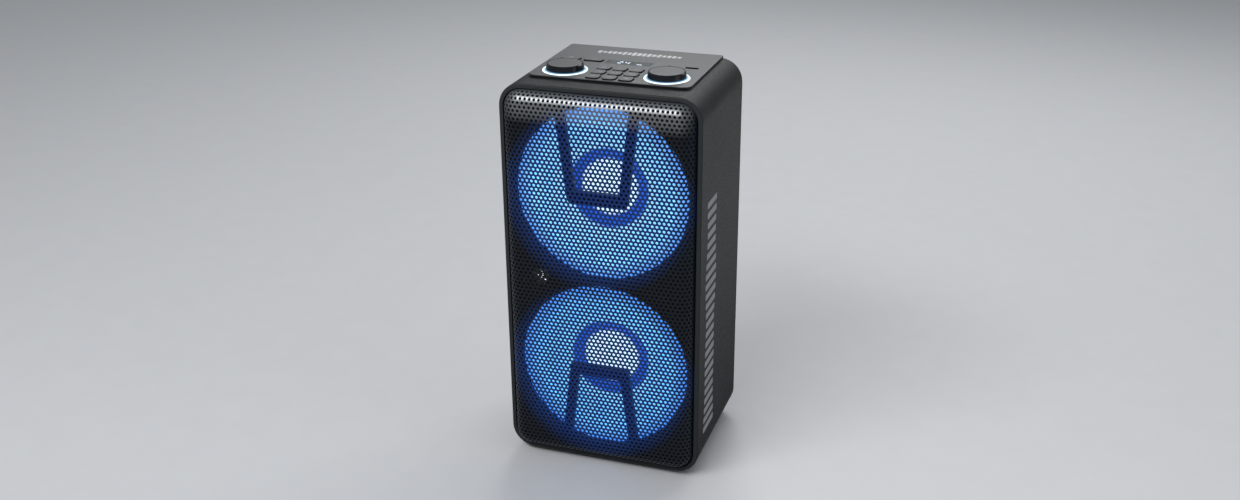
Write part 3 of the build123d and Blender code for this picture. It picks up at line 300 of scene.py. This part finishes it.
def driver_glow(prefix):
    """One look for a cone, its dust cap and its surround, set out by the distance from their axis."""
    stops = [
        (0.0, LIT_WHITE),
        (26 * MM, LIT_WHITE),
        # painted shade: a dark band round the cone's steep neck
        (28.4 * MM, LIT_NECK_SHADE),
        (37.4 * MM, LIT_NECK_SHADE),
        (39.6 * MM, LIT_PALE),
        (54 * MM, LIT_SKY),
        (66 * MM, LIT_SKY),
        (84 * MM, LIT_BLUE),
    ]
    outer_from, tint = 38 * MM, OUTER_TINTS[prefix]
    stops = [
        (reach, [c * t for c, t in zip(colour, tint)] if reach > outer_from else colour)
        for reach, colour in stops
    ]
    centre = centre_of(f"{prefix}_cone")
    return lit_from_behind(f"{prefix}_driver_glow", centre, (1, 0, 1), 90 * MM, stops, 1.0)


def ring_light(side):
    """The translucent ring under a knob, brightest along its outer edge."""
    stops = [
        (16 * MM, (0.04, 0.10, 0.18)),
        (18.4 * MM, (0.16, 0.30, 0.42)),
        (19.6 * MM, (0.62, 0.84, 0.96)),
        (20.6 * MM, (0.92, 1.0, 1.0)),
        (22.4 * MM, (0.74, 0.93, 1.0)),
    ]
    return lit_from_behind(f"{side}_ring_glow", centre_of(f"{side}_knob"), (1, 1, 0), 23 * MM, stops, 1.05)


def top_over_shaded_sides(name, node, colour, roughness):
    """A satin painted top on near-black sides; the near-black is painted shade for the gaps and side walls
    round the top.
    """
    material, tree, shader = new_material(name)
    place = object_coordinates(tree)
    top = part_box(node)[1].z
    painted = spread(tree, axes(tree, place)["Z"], 0, 1, top - 0.36 * MM, top - 0.16 * MM)
    fine = noise(tree, place, 0.3 * MM)
    slow = noise(tree, place, 35 * MM, 2)
    grey = mixed(tree, spread(tree, slow, 0, 1), colour, [c * 1.1 for c in colour])
    # painted shade: below the top face the colour drops to near-black, for the shaded gaps and side walls
    tree.links.new(mixed(tree, painted, (0.004, 0.004, 0.005), grey), shader.inputs["Base Color"])
    tree.links.new(spread(tree, fine, roughness - 0.04, roughness + 0.04), shader.inputs["Roughness"])
    bumped(tree, shader, fine, 0.6, 0.015 * MM)
    return material


def lens_material():
    """Smoked display lens with a lighter band painted along its edge as a painted highlight."""
    material, tree, shader = new_material("display_lens_look")
    place = object_coordinates(tree)
    low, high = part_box("display_window")
    along = axes(tree, away_from(tree, place, (low + high) / 2))
    near_edge = []
    for axis, half in (("X", (high.x - low.x) / 2), ("Y", (high.y - low.y) / 2)):
        far = arithmetic(tree, "ABSOLUTE", along[axis])
        near_edge.append(spread(tree, far, 0, 1, half - 1.7 * MM, half - 1.5 * MM))
    # painted highlight: a lighter band along the lens edge
    printed = arithmetic(tree, "MAXIMUM", *near_edge)
    slow = noise(tree, place, 12 * MM, 2)
    smoked = mixed(tree, spread(tree, slow, 0, 1), (0.062, 0.072, 0.070), (0.078, 0.090, 0.088))
    tree.links.new(mixed(tree, printed, smoked, (0.20, 0.22, 0.22)), shader.inputs["Base Color"])
    tree.links.new(spread(tree, slow, 0.15, 0.22), shader.inputs["Roughness"])
    shader.inputs["Coat Weight"].default_value = 0.3
    return material


def grille_material():
    """Black paint over steel, with a brighter, more metallic band along the top as a painted highlight, and
    a faint blue glow round the drivers as painted light spill.
    """
    material, tree, shader = new_material("grille_paint_look")
    place = object_coordinates(tree)
    fine = noise(tree, place, 0.5 * MM)
    along = axes(tree, place)
    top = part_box("front_grille")[1].z
    # painted highlight: a brighter, more metallic band along the top of the grille
    high_up = spread(tree, along["Z"], 0, 1, top - 28 * MM, top - 8 * MM)
    inward = spread(tree, arithmetic(tree, "ABSOLUTE", along["X"]), 1, 0, 76 * MM, 89 * MM)
    painted_highlight = arithmetic(tree, "MULTIPLY", high_up, inward)
    paint = mixed(tree, painted_highlight, (0.006, 0.007, 0.009), (0.26, 0.27, 0.28))
    tree.links.new(paint, shader.inputs["Base Color"])
    tree.links.new(spread(tree, painted_highlight, 0.0, 0.8, 0, 1), shader.inputs["Metallic"])
    tree.links.new(spread(tree, fine, 0.30, 0.40), shader.inputs["Roughness"])
    bumped(tree, shader, fine, 0.6, 0.012 * MM)
    shader.inputs["Specular IOR Level"].default_value = 0.2
    # painted light: a faint blue glow round the drivers, standing in for their light spilling onto the
    # grille
    glows = []
    for prefix in ("upper", "lower"):
        reach = axis_distance(tree, place, centre_of(f"{prefix}_cone"), (1, 0, 1))
        glows.append(spread(tree, reach, 1, 0, 72 * MM, 92 * MM))
    nearest = arithmetic(tree, "MAXIMUM", *glows)
    painted_blue_spill = mixed(tree, nearest, (0.0, 0.001, 0.003), (0.0, 0.016, 0.105))
    tree.links.new(painted_blue_spill, shader.inputs["Emission Color"])
    shader.inputs["Emission Strength"].default_value = 1.0
    return material


shell = shell_material()
smooth_black = moulded("inner_plastic_look", (0.010, 0.011, 0.014), 0.5, shine=0.25)
panel_paint = top_over_shaded_sides("panel_paint_look", "control_panel", (0.082, 0.088, 0.091), 0.36)
key_plastic = top_over_shaded_sides("key_top_look", "play_key", (0.090, 0.096, 0.098), 0.42)
knob_face = moulded("knob_top_look", (0.074, 0.077, 0.080), 0.38, 0.25 * MM, 0.012 * MM, 0.04)
knob_gloss = moulded("knob_gloss_look", (0.006, 0.008, 0.012), 0.14, 2 * MM, 0.004 * MM, 0.2, 0.12, 0, 0.3)
grille_paint = grille_material()
rubber = moulded("rubber_look", (0.018, 0.018, 0.018), 0.75, 0.8 * MM, 0.08 * MM)
black_screw = moulded("steel_screw_look", (0.03, 0.03, 0.03), 0.35, 0.5 * MM, 0.02 * MM, 0.1, 0.2, 0.7)
chassis_paint = moulded("chassis_steel_look", (0.022, 0.022, 0.025), 0.4, 0.7 * MM, 0.03 * MM)
ferrite = moulded("magnet_look", (0.05, 0.05, 0.054), 0.6, 0.5 * MM, 0.08 * MM, 0.2)
circuit = moulded("circuit_board_look", (0.012, 0.075, 0.035), 0.3, 1.2 * MM, 0.02 * MM, 0.25, 0.4)
battery_wrap = moulded("battery_wrap_look", (0.03, 0.10, 0.35), 0.25, 3 * MM, 0.05 * MM, 0.1, 0.5)
mat_rubber = moulded("mat_rubber_look", (0.35, 0.35, 0.35), 0.6, 0.6 * MM, 0.03 * MM)
wire_jacket = moulded("wire_jacket_look", (0.35, 0.02, 0.02), 0.45, 0.8 * MM, 0.02 * MM)
lens = lens_material()
plated = brushed("plated_steel_look", (0.62, 0.62, 0.62), 0.25)
zinc = brushed("motor_steel_look", (0.5, 0.5, 0.52), 0.35)
fins = brushed("aluminium_fins_look", (0.68, 0.69, 0.70), 0.35)
copper = brushed("coil_look", (0.62, 0.30, 0.16), 0.35)
spider_cloth = woven("spider_cloth_look", (0.55, 0.42, 0.18), 0.9 * MM)
strobe_lens = moulded("strobe_look", (0.03, 0.032, 0.036), 0.15, 1.4 * MM, 0.05 * MM, 0.1, 1.0)
digit_glow = glowing("digit_glow", (0.66, 0.76, 0.95), 0.9)
bead_glow = glowing("strobe_bead_glow", (0.9, 0.95, 1.0), 2.2)
print_light = moulded("printed_light", (0.26, 0.27, 0.28), 0.4, 0.4 * MM, 0.01 * MM, 0.06)
print_dull = moulded("printed_dull", (0.27, 0.282, 0.284), 0.5, 0.5 * MM, 0.01 * MM, 0.08)
print_silver = moulded("printed_silver", (0.72, 0.73, 0.74), 0.28, 0.4 * MM, 0.01 * MM, 0.05, 0.0, 0.3)

NODE_LOOKS = {
    shell: ["cabinet", "rear_panel"],
    smooth_black: [
        "front_baffle", "upper_brace", "lower_brace", "bass_port", "mic_jack", "dc_socket", "aux_jack",
    ],
    panel_paint: ["control_panel"],
    knob_face: ["left_knob_cap", "right_knob_cap"],
    knob_gloss: ["left_knob", "right_knob"],
    rubber: ["rubber_feet"],
    black_screw: ["front_screws", "rear_screws", "panel_screws"],
    chassis_paint: ["upper_chassis", "lower_chassis"],
    ferrite: ["magnets"],
    circuit: ["main_board", "control_board", "led_rings"],
    battery_wrap: ["battery_pack"],
    mat_rubber: ["keypad_mat"],
    wire_jacket: ["speaker_leads"],
    lens: ["display_window"],
    plated: ["usb_port", "encoder_housings"],
    zinc: ["motor_steels", "left_encoder_shaft", "right_encoder_shaft"],
    fins: ["heat_sink"],
    copper: ["upper_voice_coil", "lower_voice_coil"],
    spider_cloth: ["upper_spider", "lower_spider"],
    strobe_lens: ["strobe_light"],
    digit_glow: ["display_module"],
}
KEYS = sorted(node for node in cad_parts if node.endswith("_key"))
NODE_LOOKS[key_plastic] = KEYS


def dress(node, material):
    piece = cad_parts[node]
    if not piece.material_slots:
        piece.data.materials.append(material)
    for slot in piece.material_slots:
        slot.material = material


for look, nodes in NODE_LOOKS.items():
    for node in nodes:
        dress(node, look)

for side in ("left", "right"):
    dress(f"{side}_light_ring", ring_light(side))
driver_looks = {prefix: driver_glow(prefix) for prefix in ("upper", "lower")}
for prefix, look in driver_looks.items():
    dress(f"{prefix}_cone", look)
    dress(f"{prefix}_dust_cap", look)


# ---------------------------------------------------------------- mesh helpers
def add_piece(name, vertices, faces, material, body, smooth_angle=None):
    """A mesh piece that rides on a body. smooth_angle keeps edges sharper than it crisp."""
    mesh = bpy.data.meshes.new(name)
    mesh.from_pydata([tuple(v) for v in vertices], [], [tuple(int(i) for i in f) for f in faces])
    mesh.validate()
    mesh.materials.append(material)
    piece = bpy.data.objects.new(name, mesh)
    bpy.context.scene.collection.objects.link(piece)
    if smooth_angle is not None:
        mesh.shade_smooth()
        mesh.set_sharp_from_angle(angle=smooth_angle)
    if body:
        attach(piece, body)
    return piece


def rounded_outline(width, height, radius, steps=5):
    """Points round a rectangle with rounded corners, anticlockwise, about its middle."""
    points = []
    for sx, sy, start in ((1, 1, 0), (-1, 1, 90), (-1, -1, 180), (1, -1, 270)):
        corner_x = sx * (width / 2 - radius)
        corner_y = sy * (height / 2 - radius)
        for step in range(steps + 1):
            angle = radians(start + 90 * step / steps)
            points.append((corner_x + radius * cos(angle), corner_y + radius * sin(angle)))
    return points


def slab(outlines, to_space, thickness):
    """Flat shapes with a thickness. to_space turns (x, y, height) of the print into the row frame."""
    vertices, faces = [], []
    for outline in outlines:
        start, count = len(vertices), len(outline)
        vertices += [to_space(x, y, 0) for x, y in outline]
        vertices += [to_space(x, y, thickness) for x, y in outline]
        faces.append([start + count + k for k in range(count)])
        faces.append([start + k for k in reversed(range(count))])
        for k in range(count):
            after = (k + 1) % count
            faces.append([start + k, start + after, start + count + after, start + count + k])
    return vertices, faces


# ---------------------------------------------------------------- domed, punched grille
HOLE_PITCH = 4.4 * MM
HOLE_RADIUS = 1.45 * MM
HOLE_SIDES = 8
ROLL = 13.5 * MM
SHEET = 0.8 * MM
LAST_HOLE = 16.6 * MM  # how far round the rolled edge the holes go
SKIRT = 0.45 * MM
PRINT = 0.06 * MM


def punched_sheet():
    """The flat pattern of hexagonal cells, each with a hole, then rolled over the grille's edges."""
    low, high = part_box("front_grille")
    half_width, half_height = (high.x - low.x) / 2, (high.z - low.z) / 2
    core_radius = 17.2 * MM - ROLL
    arm_x, arm_z = half_width - ROLL - core_radius, half_height - ROLL - core_radius
    quarter = ROLL * pi / 2
    last = quarter + SKIRT

    def past_core(points):
        """How far each flat point lies outside the flat middle, and which way."""
        over = np.maximum(np.abs(points) - (arm_x, arm_z), 0)
        reach = np.hypot(over[:, 0], over[:, 1])
        way = over / np.maximum(reach, 1e-9)[:, None] * np.sign(points)
        return reach - core_radius, way

    def rolled(points):
        distance, way = past_core(points)
        distance = np.minimum(distance, last)
        turn = np.clip(distance, 0, quarter) / ROLL
        straight = np.maximum(distance - quarter, 0)
        flat_radius = core_radius + np.minimum(distance, 0) + ROLL * np.sin(turn)
        base = np.clip(points, (-arm_x, -arm_z), (arm_x, arm_z))
        placed = base + way * np.maximum(flat_radius, 0)[:, None]
        depth = low.y + ROLL - ROLL * np.cos(turn) + straight
        return np.column_stack([placed[:, 0], depth, placed[:, 1] + middle_z])

    corners = [(HOLE_PITCH / sqrt(3), radians(30 + 60 * k)) for k in range(6)]
    rim = [(HOLE_RADIUS, 2 * pi * k / HOLE_SIDES) for k in range(HOLE_SIDES)]
    ring = np.array([(r * cos(a), r * sin(a)) for r, a in corners + rim])

    def cell_faces():
        """Triangles between the hexagon and the hole, walking round both."""
        outer, inner, faces = 0, 1, []
        while outer < 6 or inner < HOLE_SIDES + 1:
            next_outer = radians(90 + 60 * outer)
            next_inner = 2 * pi * (inner + 1) / HOLE_SIDES
            here, there = outer % 6, 6 + inner % HOLE_SIDES
            if outer < 6 and (next_outer <= next_inner or inner >= HOLE_SIDES + 1):
                faces.append((here, (outer + 1) % 6, there))
                outer += 1
            else:
                faces.append((here, 6 + (inner + 1) % HOLE_SIDES, there))
                inner += 1
        return faces

    row_pitch = HOLE_PITCH * sqrt(3) / 2
    reach_x, reach_z = arm_x + core_radius + last, arm_z + core_radius + last
    rows, columns = int(reach_z / row_pitch) + 2, int(reach_x / HOLE_PITCH) + 2
    centres = np.array(
        [
            ((i + 0.5 * (j % 2)) * HOLE_PITCH, j * row_pitch)
            for j in range(-rows, rows + 1)
            for i in range(-columns, columns + 1)
        ]
    )
    distance = past_core(centres)[0]
    punched = centres[distance <= LAST_HOLE]
    plain = centres[(distance > LAST_HOLE) & (distance < last + HOLE_PITCH)]

    template = cell_faces()
    points, faces = [], []
    for cell, centre in enumerate(punched):
        points.append(centre + ring)
        faces += [[cell * len(ring) + k for k in face] for face in template]
    start = len(punched) * len(ring)
    for cell, centre in enumerate(plain):
        points.append(centre + ring[:6])
        first = start + cell * 6
        faces.append([first + k for k in range(6)])
    points = np.concatenate(points)
    _, first_at, merged = np.unique(
        np.round(points / (0.01 * MM)).astype(np.int64), axis=0, return_index=True, return_inverse=True
    )
    points = points[first_at]
    merged = merged.ravel()
    beyond = past_core(points)[0] >= last
    faces = [[merged[k] for k in face] for face in faces]
    faces = [face for face in faces if not all(beyond[k] for k in face)]
    return rolled(points), faces


def make_grille():
    vertices, faces = punched_sheet()
    flat = add_piece("grille_pattern", vertices, faces, grille_paint, None)
    thick = flat.modifiers.new("thickness", "SOLIDIFY")
    thick.thickness = SHEET
    thick.offset = -1
    solid = bpy.data.meshes.new_from_object(flat.evaluated_get(bpy.context.evaluated_depsgraph_get()))
    bpy.data.objects.remove(flat)
    cleaner = bmesh.new()
    cleaner.from_mesh(solid)
    bmesh.ops.dissolve_degenerate(cleaner, dist=0.002 * MM, edges=cleaner.edges)
    loose = [vertex for vertex in cleaner.verts if not vertex.link_faces]
    bmesh.ops.delete(cleaner, geom=loose, context="VERTS")
    cleaner.to_mesh(solid)
    cleaner.free()
    solid.shade_smooth()
    solid.set_sharp_from_angle(angle=radians(35))
    solid.name = "punched_grille"
    grille = bpy.data.objects.new("punched_grille", solid)
    bpy.context.scene.collection.objects.link(grille)
    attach(grille, HOUSING)
    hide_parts("front_grille")
    return grille


grille = make_grille()


# ---------------------------------------------------------------- surrounds and spiders
def lathe(name, profile, centre, material, body, segments=128):
    """A closed profile of (radius, depth behind centre.y) turned about the driver's axis."""
    vertices, faces = [], []
    count = len(profile)
    for segment in range(segments):
        angle = 2 * pi * segment / segments
        for radius, depth in profile:
            vertices.append(
                (centre.x + radius * cos(angle), centre.y + depth, centre.z + radius * sin(angle))
            )
    for segment in range(segments):
        here, there = segment * count, (segment + 1) % segments * count
        for k in range(count):
            after = (k + 1) % count
            faces.append([here + k, here + after, there + after, there + k])
    return add_piece(name, vertices, faces, material, body, radians(40))


def surround_profile(inner, outer, rise, sheet, foot, steps=14):
    """A half roll between the glued foot on the cone and the land on the flange, with fine ribs."""
    middle, half = (inner + outer) / 2, (outer - inner) / 2
    front = [(inner - 2.6 * MM, foot)]
    for step in range(steps + 1):
        angle = pi - pi * step / steps
        rib = 0.12 * MM * cos(4 * pi * step / steps)
        drop = foot * (1 - step / steps)
        front.append((middle + half * cos(angle), drop - (rise + rib) * sin(angle)))
    front.append((outer + 3 * MM, 0))
    back = [(radius, depth + sheet) for radius, depth in reversed(front)]
    return front + back


def make_surround(prefix):
    low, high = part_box(f"{prefix}_surround")
    middle = (low + high) / 2
    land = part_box(f"{prefix}_chassis")[0].y
    sheet = 0.7 * MM
    centre = Vector((middle.x, land - sheet - 0.02 * MM, middle.z))
    profile = surround_profile(68.2 * MM, 79 * MM, 3.4 * MM, sheet, 2.6 * MM)
    roll = lathe(f"{prefix}_surround_roll", profile, centre, driver_looks[prefix], None)
    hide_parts(f"{prefix}_surround")
    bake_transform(roll)


SPIDER_LEDGE = 31.5 * MM  # depth behind the flange's front face
SPIDER_SHEET = 0.5 * MM
SPIDER_GAP = 0.02 * MM


def spider_profile(waves=3, wave_height=0.9 * MM, wall_steps=5, wall_rib=0.25 * MM):
    """A cupped disc: its foot is glued on the cone's back, its corrugated rim lies on the ledge."""
    foot = [(27.4 * MM, 24.84 * MM), (28.9 * MM, 23.93 * MM), (29.8 * MM, 24.3 * MM)]
    wall_from, wall_top = foot[-1]
    flat_from, rim = 36 * MM, 45 * MM
    depth = SPIDER_LEDGE - SPIDER_SHEET - SPIDER_GAP
    front = list(foot)
    for step in range(1, wall_steps):
        share = step / wall_steps
        rib = wall_rib if step % 2 else -wall_rib
        radius = wall_from + (flat_from - wall_from) * share + rib
        front.append((radius, wall_top + (depth - wall_top) * share))
    pitch = (rim - 2 * MM - flat_from) / (2 * waves)
    for k in range(2 * waves + 1):
        front.append((flat_from + pitch * k, depth - (wave_height if k % 2 else 0)))
    front.append((rim, depth))
    return front + [(radius, place + SPIDER_SHEET) for radius, place in reversed(front)]


def make_spider(prefix):
    low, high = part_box(f"{prefix}_spider")
    middle = (low + high) / 2
    centre = Vector((middle.x, high.y + SPIDER_GAP - SPIDER_LEDGE, middle.z))
    cup = lathe(f"{prefix}_spider_cup", spider_profile(), centre, spider_cloth, None)
    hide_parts(f"{prefix}_spider")
    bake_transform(cup)


for prefix in ("upper", "lower"):
    make_surround(prefix)
    make_spider(prefix)


# ---------------------------------------------------------------- printed marks
def on_top(x, y, height):
    return (x, y, panel_top + height)


def make_top_mark():
    """A row of level-meter bars near the back of the control panel."""
    bars, pitch, width = 17, 4.9 * MM, 3.5 * MM
    middle = (bars - 1) / 2
    row_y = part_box("control_panel")[1].y - 21.5 * MM
    outlines = []
    for k in range(bars):
        length = (10.4 - 4.0 * abs(k - middle) / middle + 1.6 * cos(2.6 * k)) * MM
        outline = rounded_outline(width, length, 0.8 * MM, 3)
        outlines.append([(px + (k - middle) * pitch, py + row_y) for px, py in outline])
    vertices, faces = slab(outlines, on_top, PRINT)
    return add_piece("top_level_mark", vertices, faces, print_silver, HOUSING)


def make_side_mark(side, name):
    """A tall stack of level-meter bars printed on the cabinet's side."""
    face_x = cabinet_high.x if side > 0 else cabinet_low.x
    bottom, rows, pitch = cabinet_low.z + 32 * MM, 24, 10 * MM
    centre_y = front_y + 37 * MM

    def on_side(x, y, height):
        return (face_x + side * height, centre_y + side * x, y)

    outlines = []
    for row in range(rows):
        length = (31 + 5 * cos(0.62 * row) * cos(0.17 * row + 0.5)) * MM
        outline = rounded_outline(length, 6.0 * MM, 1.6 * MM, 3)
        outlines.append([(px, py + bottom + (row + 0.5) * pitch) for px, py in outline])
    vertices, faces = slab(outlines, on_side, PRINT)
    return add_piece(name, vertices, faces, print_dull, HOUSING)


make_top_mark()
make_side_mark(1, "right_level_mark")
make_side_mark(-1, "left_level_mark")


def bar(x, y, width, height):
    """A bar with rounded ends, about (x, y)."""
    return [(x + px, y + py) for px, py in rounded_outline(width, height, min(width, height) * 0.3, 3)]


def disc(x, y, radius, sides=24):
    angles = [2 * pi * k / sides for k in range(sides)]
    return [(x + radius * cos(angle), y + radius * sin(angle)) for angle in angles]


def arrow(x, y, size):
    """A triangle that points right, or left when size is negative."""
    half, spread_y = size / 2, abs(size) * 0.55
    points = [(x - half, y - spread_y), (x + half, y), (x - half, y + spread_y)]
    return points if size > 0 else points[::-1]


def arc(x, y, inner, outer, start, sweep, steps=24):
    """Part of a ring, as one outline."""
    angles = [radians(start + sweep * k / steps) for k in range(steps + 1)]
    far = [(x + outer * cos(angle), y + outer * sin(angle)) for angle in angles]
    near = [(x + inner * cos(angle), y + inner * sin(angle)) for angle in reversed(angles)]
    return far + near


def scaled(outline):
    return [(x * MM, y * MM) for x, y in outline]


def legend_shapes():
    """Plain pictograms about the middle of each key, in millimetres."""
    line, around = 0.6, [pi / 4 * k for k in range(8)]
    shapes = {
        "play_key": [arrow(-1.1, 0, 2.6), bar(1.1, 0, line, 2.7), bar(2.2, 0, line, 2.7)],
        "previous_key": [arrow(-0.4, 0, -2.2), arrow(1.85, 0, -2.2), bar(-2.1, 0, line, 2.6)],
        "next_key": [arrow(-1.85, 0, 2.2), arrow(0.4, 0, 2.2), bar(2.1, 0, line, 2.6)],
        "menu_key": [bar(0, k * 1.5, 4.2, line) for k in (-1, 0, 1)],
        "record_key": [disc(0, 0, 1.5), *(arc(0, 0, 2.1, 2.5, start, 168) for start in (6, 186))],
        "echo_key": [bar(k * 1.3, 0, line, 3.8 - abs(k) * 1.1) for k in (-2, -1, 0, 1, 2)],
        "bass_key": [disc(0, 0, 0.9), *(arc(0, 0, 1.6, 2.1, start, 120) for start in (-60, 120))],
        "mode_key": [bar(x, y, 1.6, 1.6) for x in (-1.1, 1.1) for y in (-1.1, 1.1)],
        "repeat_key": [arc(0, 0, 1.7, 2.2, 78, 250), arrow(1.3, 1.9, 1.5)],
        "lights_key": [disc(0, 0, 1.5), *(disc(2.6 * cos(a), 2.6 * sin(a), 0.35, 10) for a in around)],
        "power_key": [arc(0, 0, 1.7, 2.2, 120, 300), bar(0, 1.6, 0.55, 2.2)],
    }
    return {key: [scaled(outline) for outline in outlines] for key, outlines in shapes.items()}


LEGEND_INSET = 0.01 * MM  # the ink starts just inside the key's face


def make_legend(key, shapes):
    middle, top = centre_of(key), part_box(key)[1].z

    def on_key(x, y, height):
        return (middle.x + x, middle.y + y, top - LEGEND_INSET + height)

    vertices, faces = slab(shapes, on_key, LEGEND_INSET + PRINT)
    return add_piece(f"{key}_legend", vertices, faces, print_light, f"{key}_body")


for key, shapes in legend_shapes().items():
    make_legend(key, shapes)

SEGMENTS = {"2": "abged", "4": "fgbc"}  # lit bars of a seven-segment figure


def digit_bars(character, x, y, width, height, line):
    """The lit bars of a seven-segment figure whose lower left corner is at (x, y)."""
    half = height / 2
    places = {
        "a": (x + width / 2, y + height, width - line, line),
        "g": (x + width / 2, y + half, width - line, line),
        "d": (x + width / 2, y, width - line, line),
        "f": (x, y + half * 1.5, line, half - line),
        "b": (x + width, y + half * 1.5, line, half - line),
        "e": (x, y + half / 2, line, half - line),
        "c": (x + width, y + half / 2, line, half - line),
    }
    return [bar(*places[name]) for name in SEGMENTS[character]]


def make_digits():
    window = centre_of("display_window")
    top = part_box("display_window")[1].z

    def on_window(x, y, height):
        return (window.x + x, window.y + y, top - LEGEND_INSET + height)

    width, height, line, foot = 3.6, 6.8, 0.8, -3.4
    shapes = digit_bars("2", -10, foot, width, height, line)
    shapes += digit_bars("4", -3.2, foot, width, height, line)
    shapes.append(bar(11, -3.2, 5, 1.4))
    vertices, faces = slab([scaled(shape) for shape in shapes], on_window, LEGEND_INSET + PRINT)
    return add_piece("display_digits", vertices, faces, digit_glow, HOUSING)


make_digits()


def make_strobe_dots():
    """The lamp's light chips, seen as small bright beads in its dark lens."""
    low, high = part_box("strobe_light")
    middle = (low + high) / 2
    places = [(-3.0, 0.6), (1.2, 0.9), (-1.6, -2.6), (3.0, -3.2), (2.0, 4.4)]
    bead, curve = 1.3 * MM, 7.3 * MM
    outlines = [disc(x * MM, z * MM, bead, 16) for x, z in places]

    def on_lens(x, z, height):
        sag = curve - sqrt(max(curve * curve - x * x - z * z, 0))
        return (middle.x + x, low.y + sag + 0.25 * MM - height, middle.z + z)

    vertices, faces = slab(outlines, on_lens, 0.5 * MM)
    return add_piece("strobe_beads", vertices, faces, bead_glow, HOUSING)


make_strobe_dots()


# ---------------------------------------------------------------- floor, light and camera
def make_floor():
    mesh = bpy.data.meshes.new("floor")
    reach = 9.0
    mesh.from_pydata(
        [(-reach, -reach, 0), (reach, -reach, 0), (reach, reach, 0), (-reach, reach, 0)], [], [(0, 1, 2, 3)]
    )
    floor = bpy.data.objects.new("floor", mesh)
    bpy.context.scene.collection.objects.link(floor)
    mesh.materials.append(moulded("floor_paper", (0.70, 0.71, 0.73), 0.42, 4 * MM, 0.02 * MM, 0.01))


def add_light(name, place, target, size, power, colour=(1, 1, 1)):
    data = bpy.data.lights.new(name, "AREA")
    data.shape = "RECTANGLE"
    data.size, data.size_y = size
    data.energy = power
    data.color = colour
    lamp = bpy.data.objects.new(name, data)
    bpy.context.scene.collection.objects.link(lamp)
    lamp.location = place
    lamp.rotation_euler = (Vector(target) - Vector(place)).to_track_quat("-Z", "Y").to_euler()


def make_lights():
    world = bpy.data.worlds.new("studio")
    world.use_nodes = True
    world.node_tree.nodes["Background"].inputs["Color"].default_value = (0.82, 0.86, 0.90, 1)
    world.node_tree.nodes["Background"].inputs["Strength"].default_value = 0.32
    bpy.context.scene.world = world
    target = (0, 0, middle_z)
    add_light("key", (-0.55, -1.35, 1.75), target, (1.5, 0.5), 24)
    add_light("back", (0.2, 1.5, 1.5), (0, 0, cabinet_high.z), (1.8, 0.7), 16)
    add_light("side", (1.8, -0.3, 0.9), target, (0.9, 1.4), 2.5)


def make_camera():
    """The camera stands to the right of the front, above it and looking down."""
    yaw, pitch, roll = radians(19.04), radians(23.03), radians(-0.49)
    focal, sensor = 38.63, 36.0
    offset = Vector((381.9, -1051.2, 696.7)) * MM  # from the middle of the cabinet's lower front edge
    forward = Vector((-sin(yaw) * cos(pitch), cos(yaw) * cos(pitch), -sin(pitch)))
    level = Vector((cos(yaw), sin(yaw), 0))
    upward = level.cross(forward)
    right = level * cos(roll) + upward * sin(roll)
    up = upward * cos(roll) - level * sin(roll)
    data = bpy.data.cameras.new("camera")
    data.lens = focal
    data.sensor_width = sensor
    camera = bpy.data.objects.new("camera", data)
    bpy.context.scene.collection.objects.link(camera)
    turn = Matrix((right, up, -forward)).transposed().to_4x4()
    camera.matrix_world = Matrix.Translation(Vector((0, front_y, cabinet_low.z)) + offset) @ turn
    bpy.context.scene.camera = camera


make_floor()
make_lights()
make_camera()
bpy.context.scene.view_settings.view_transform = "Standard"
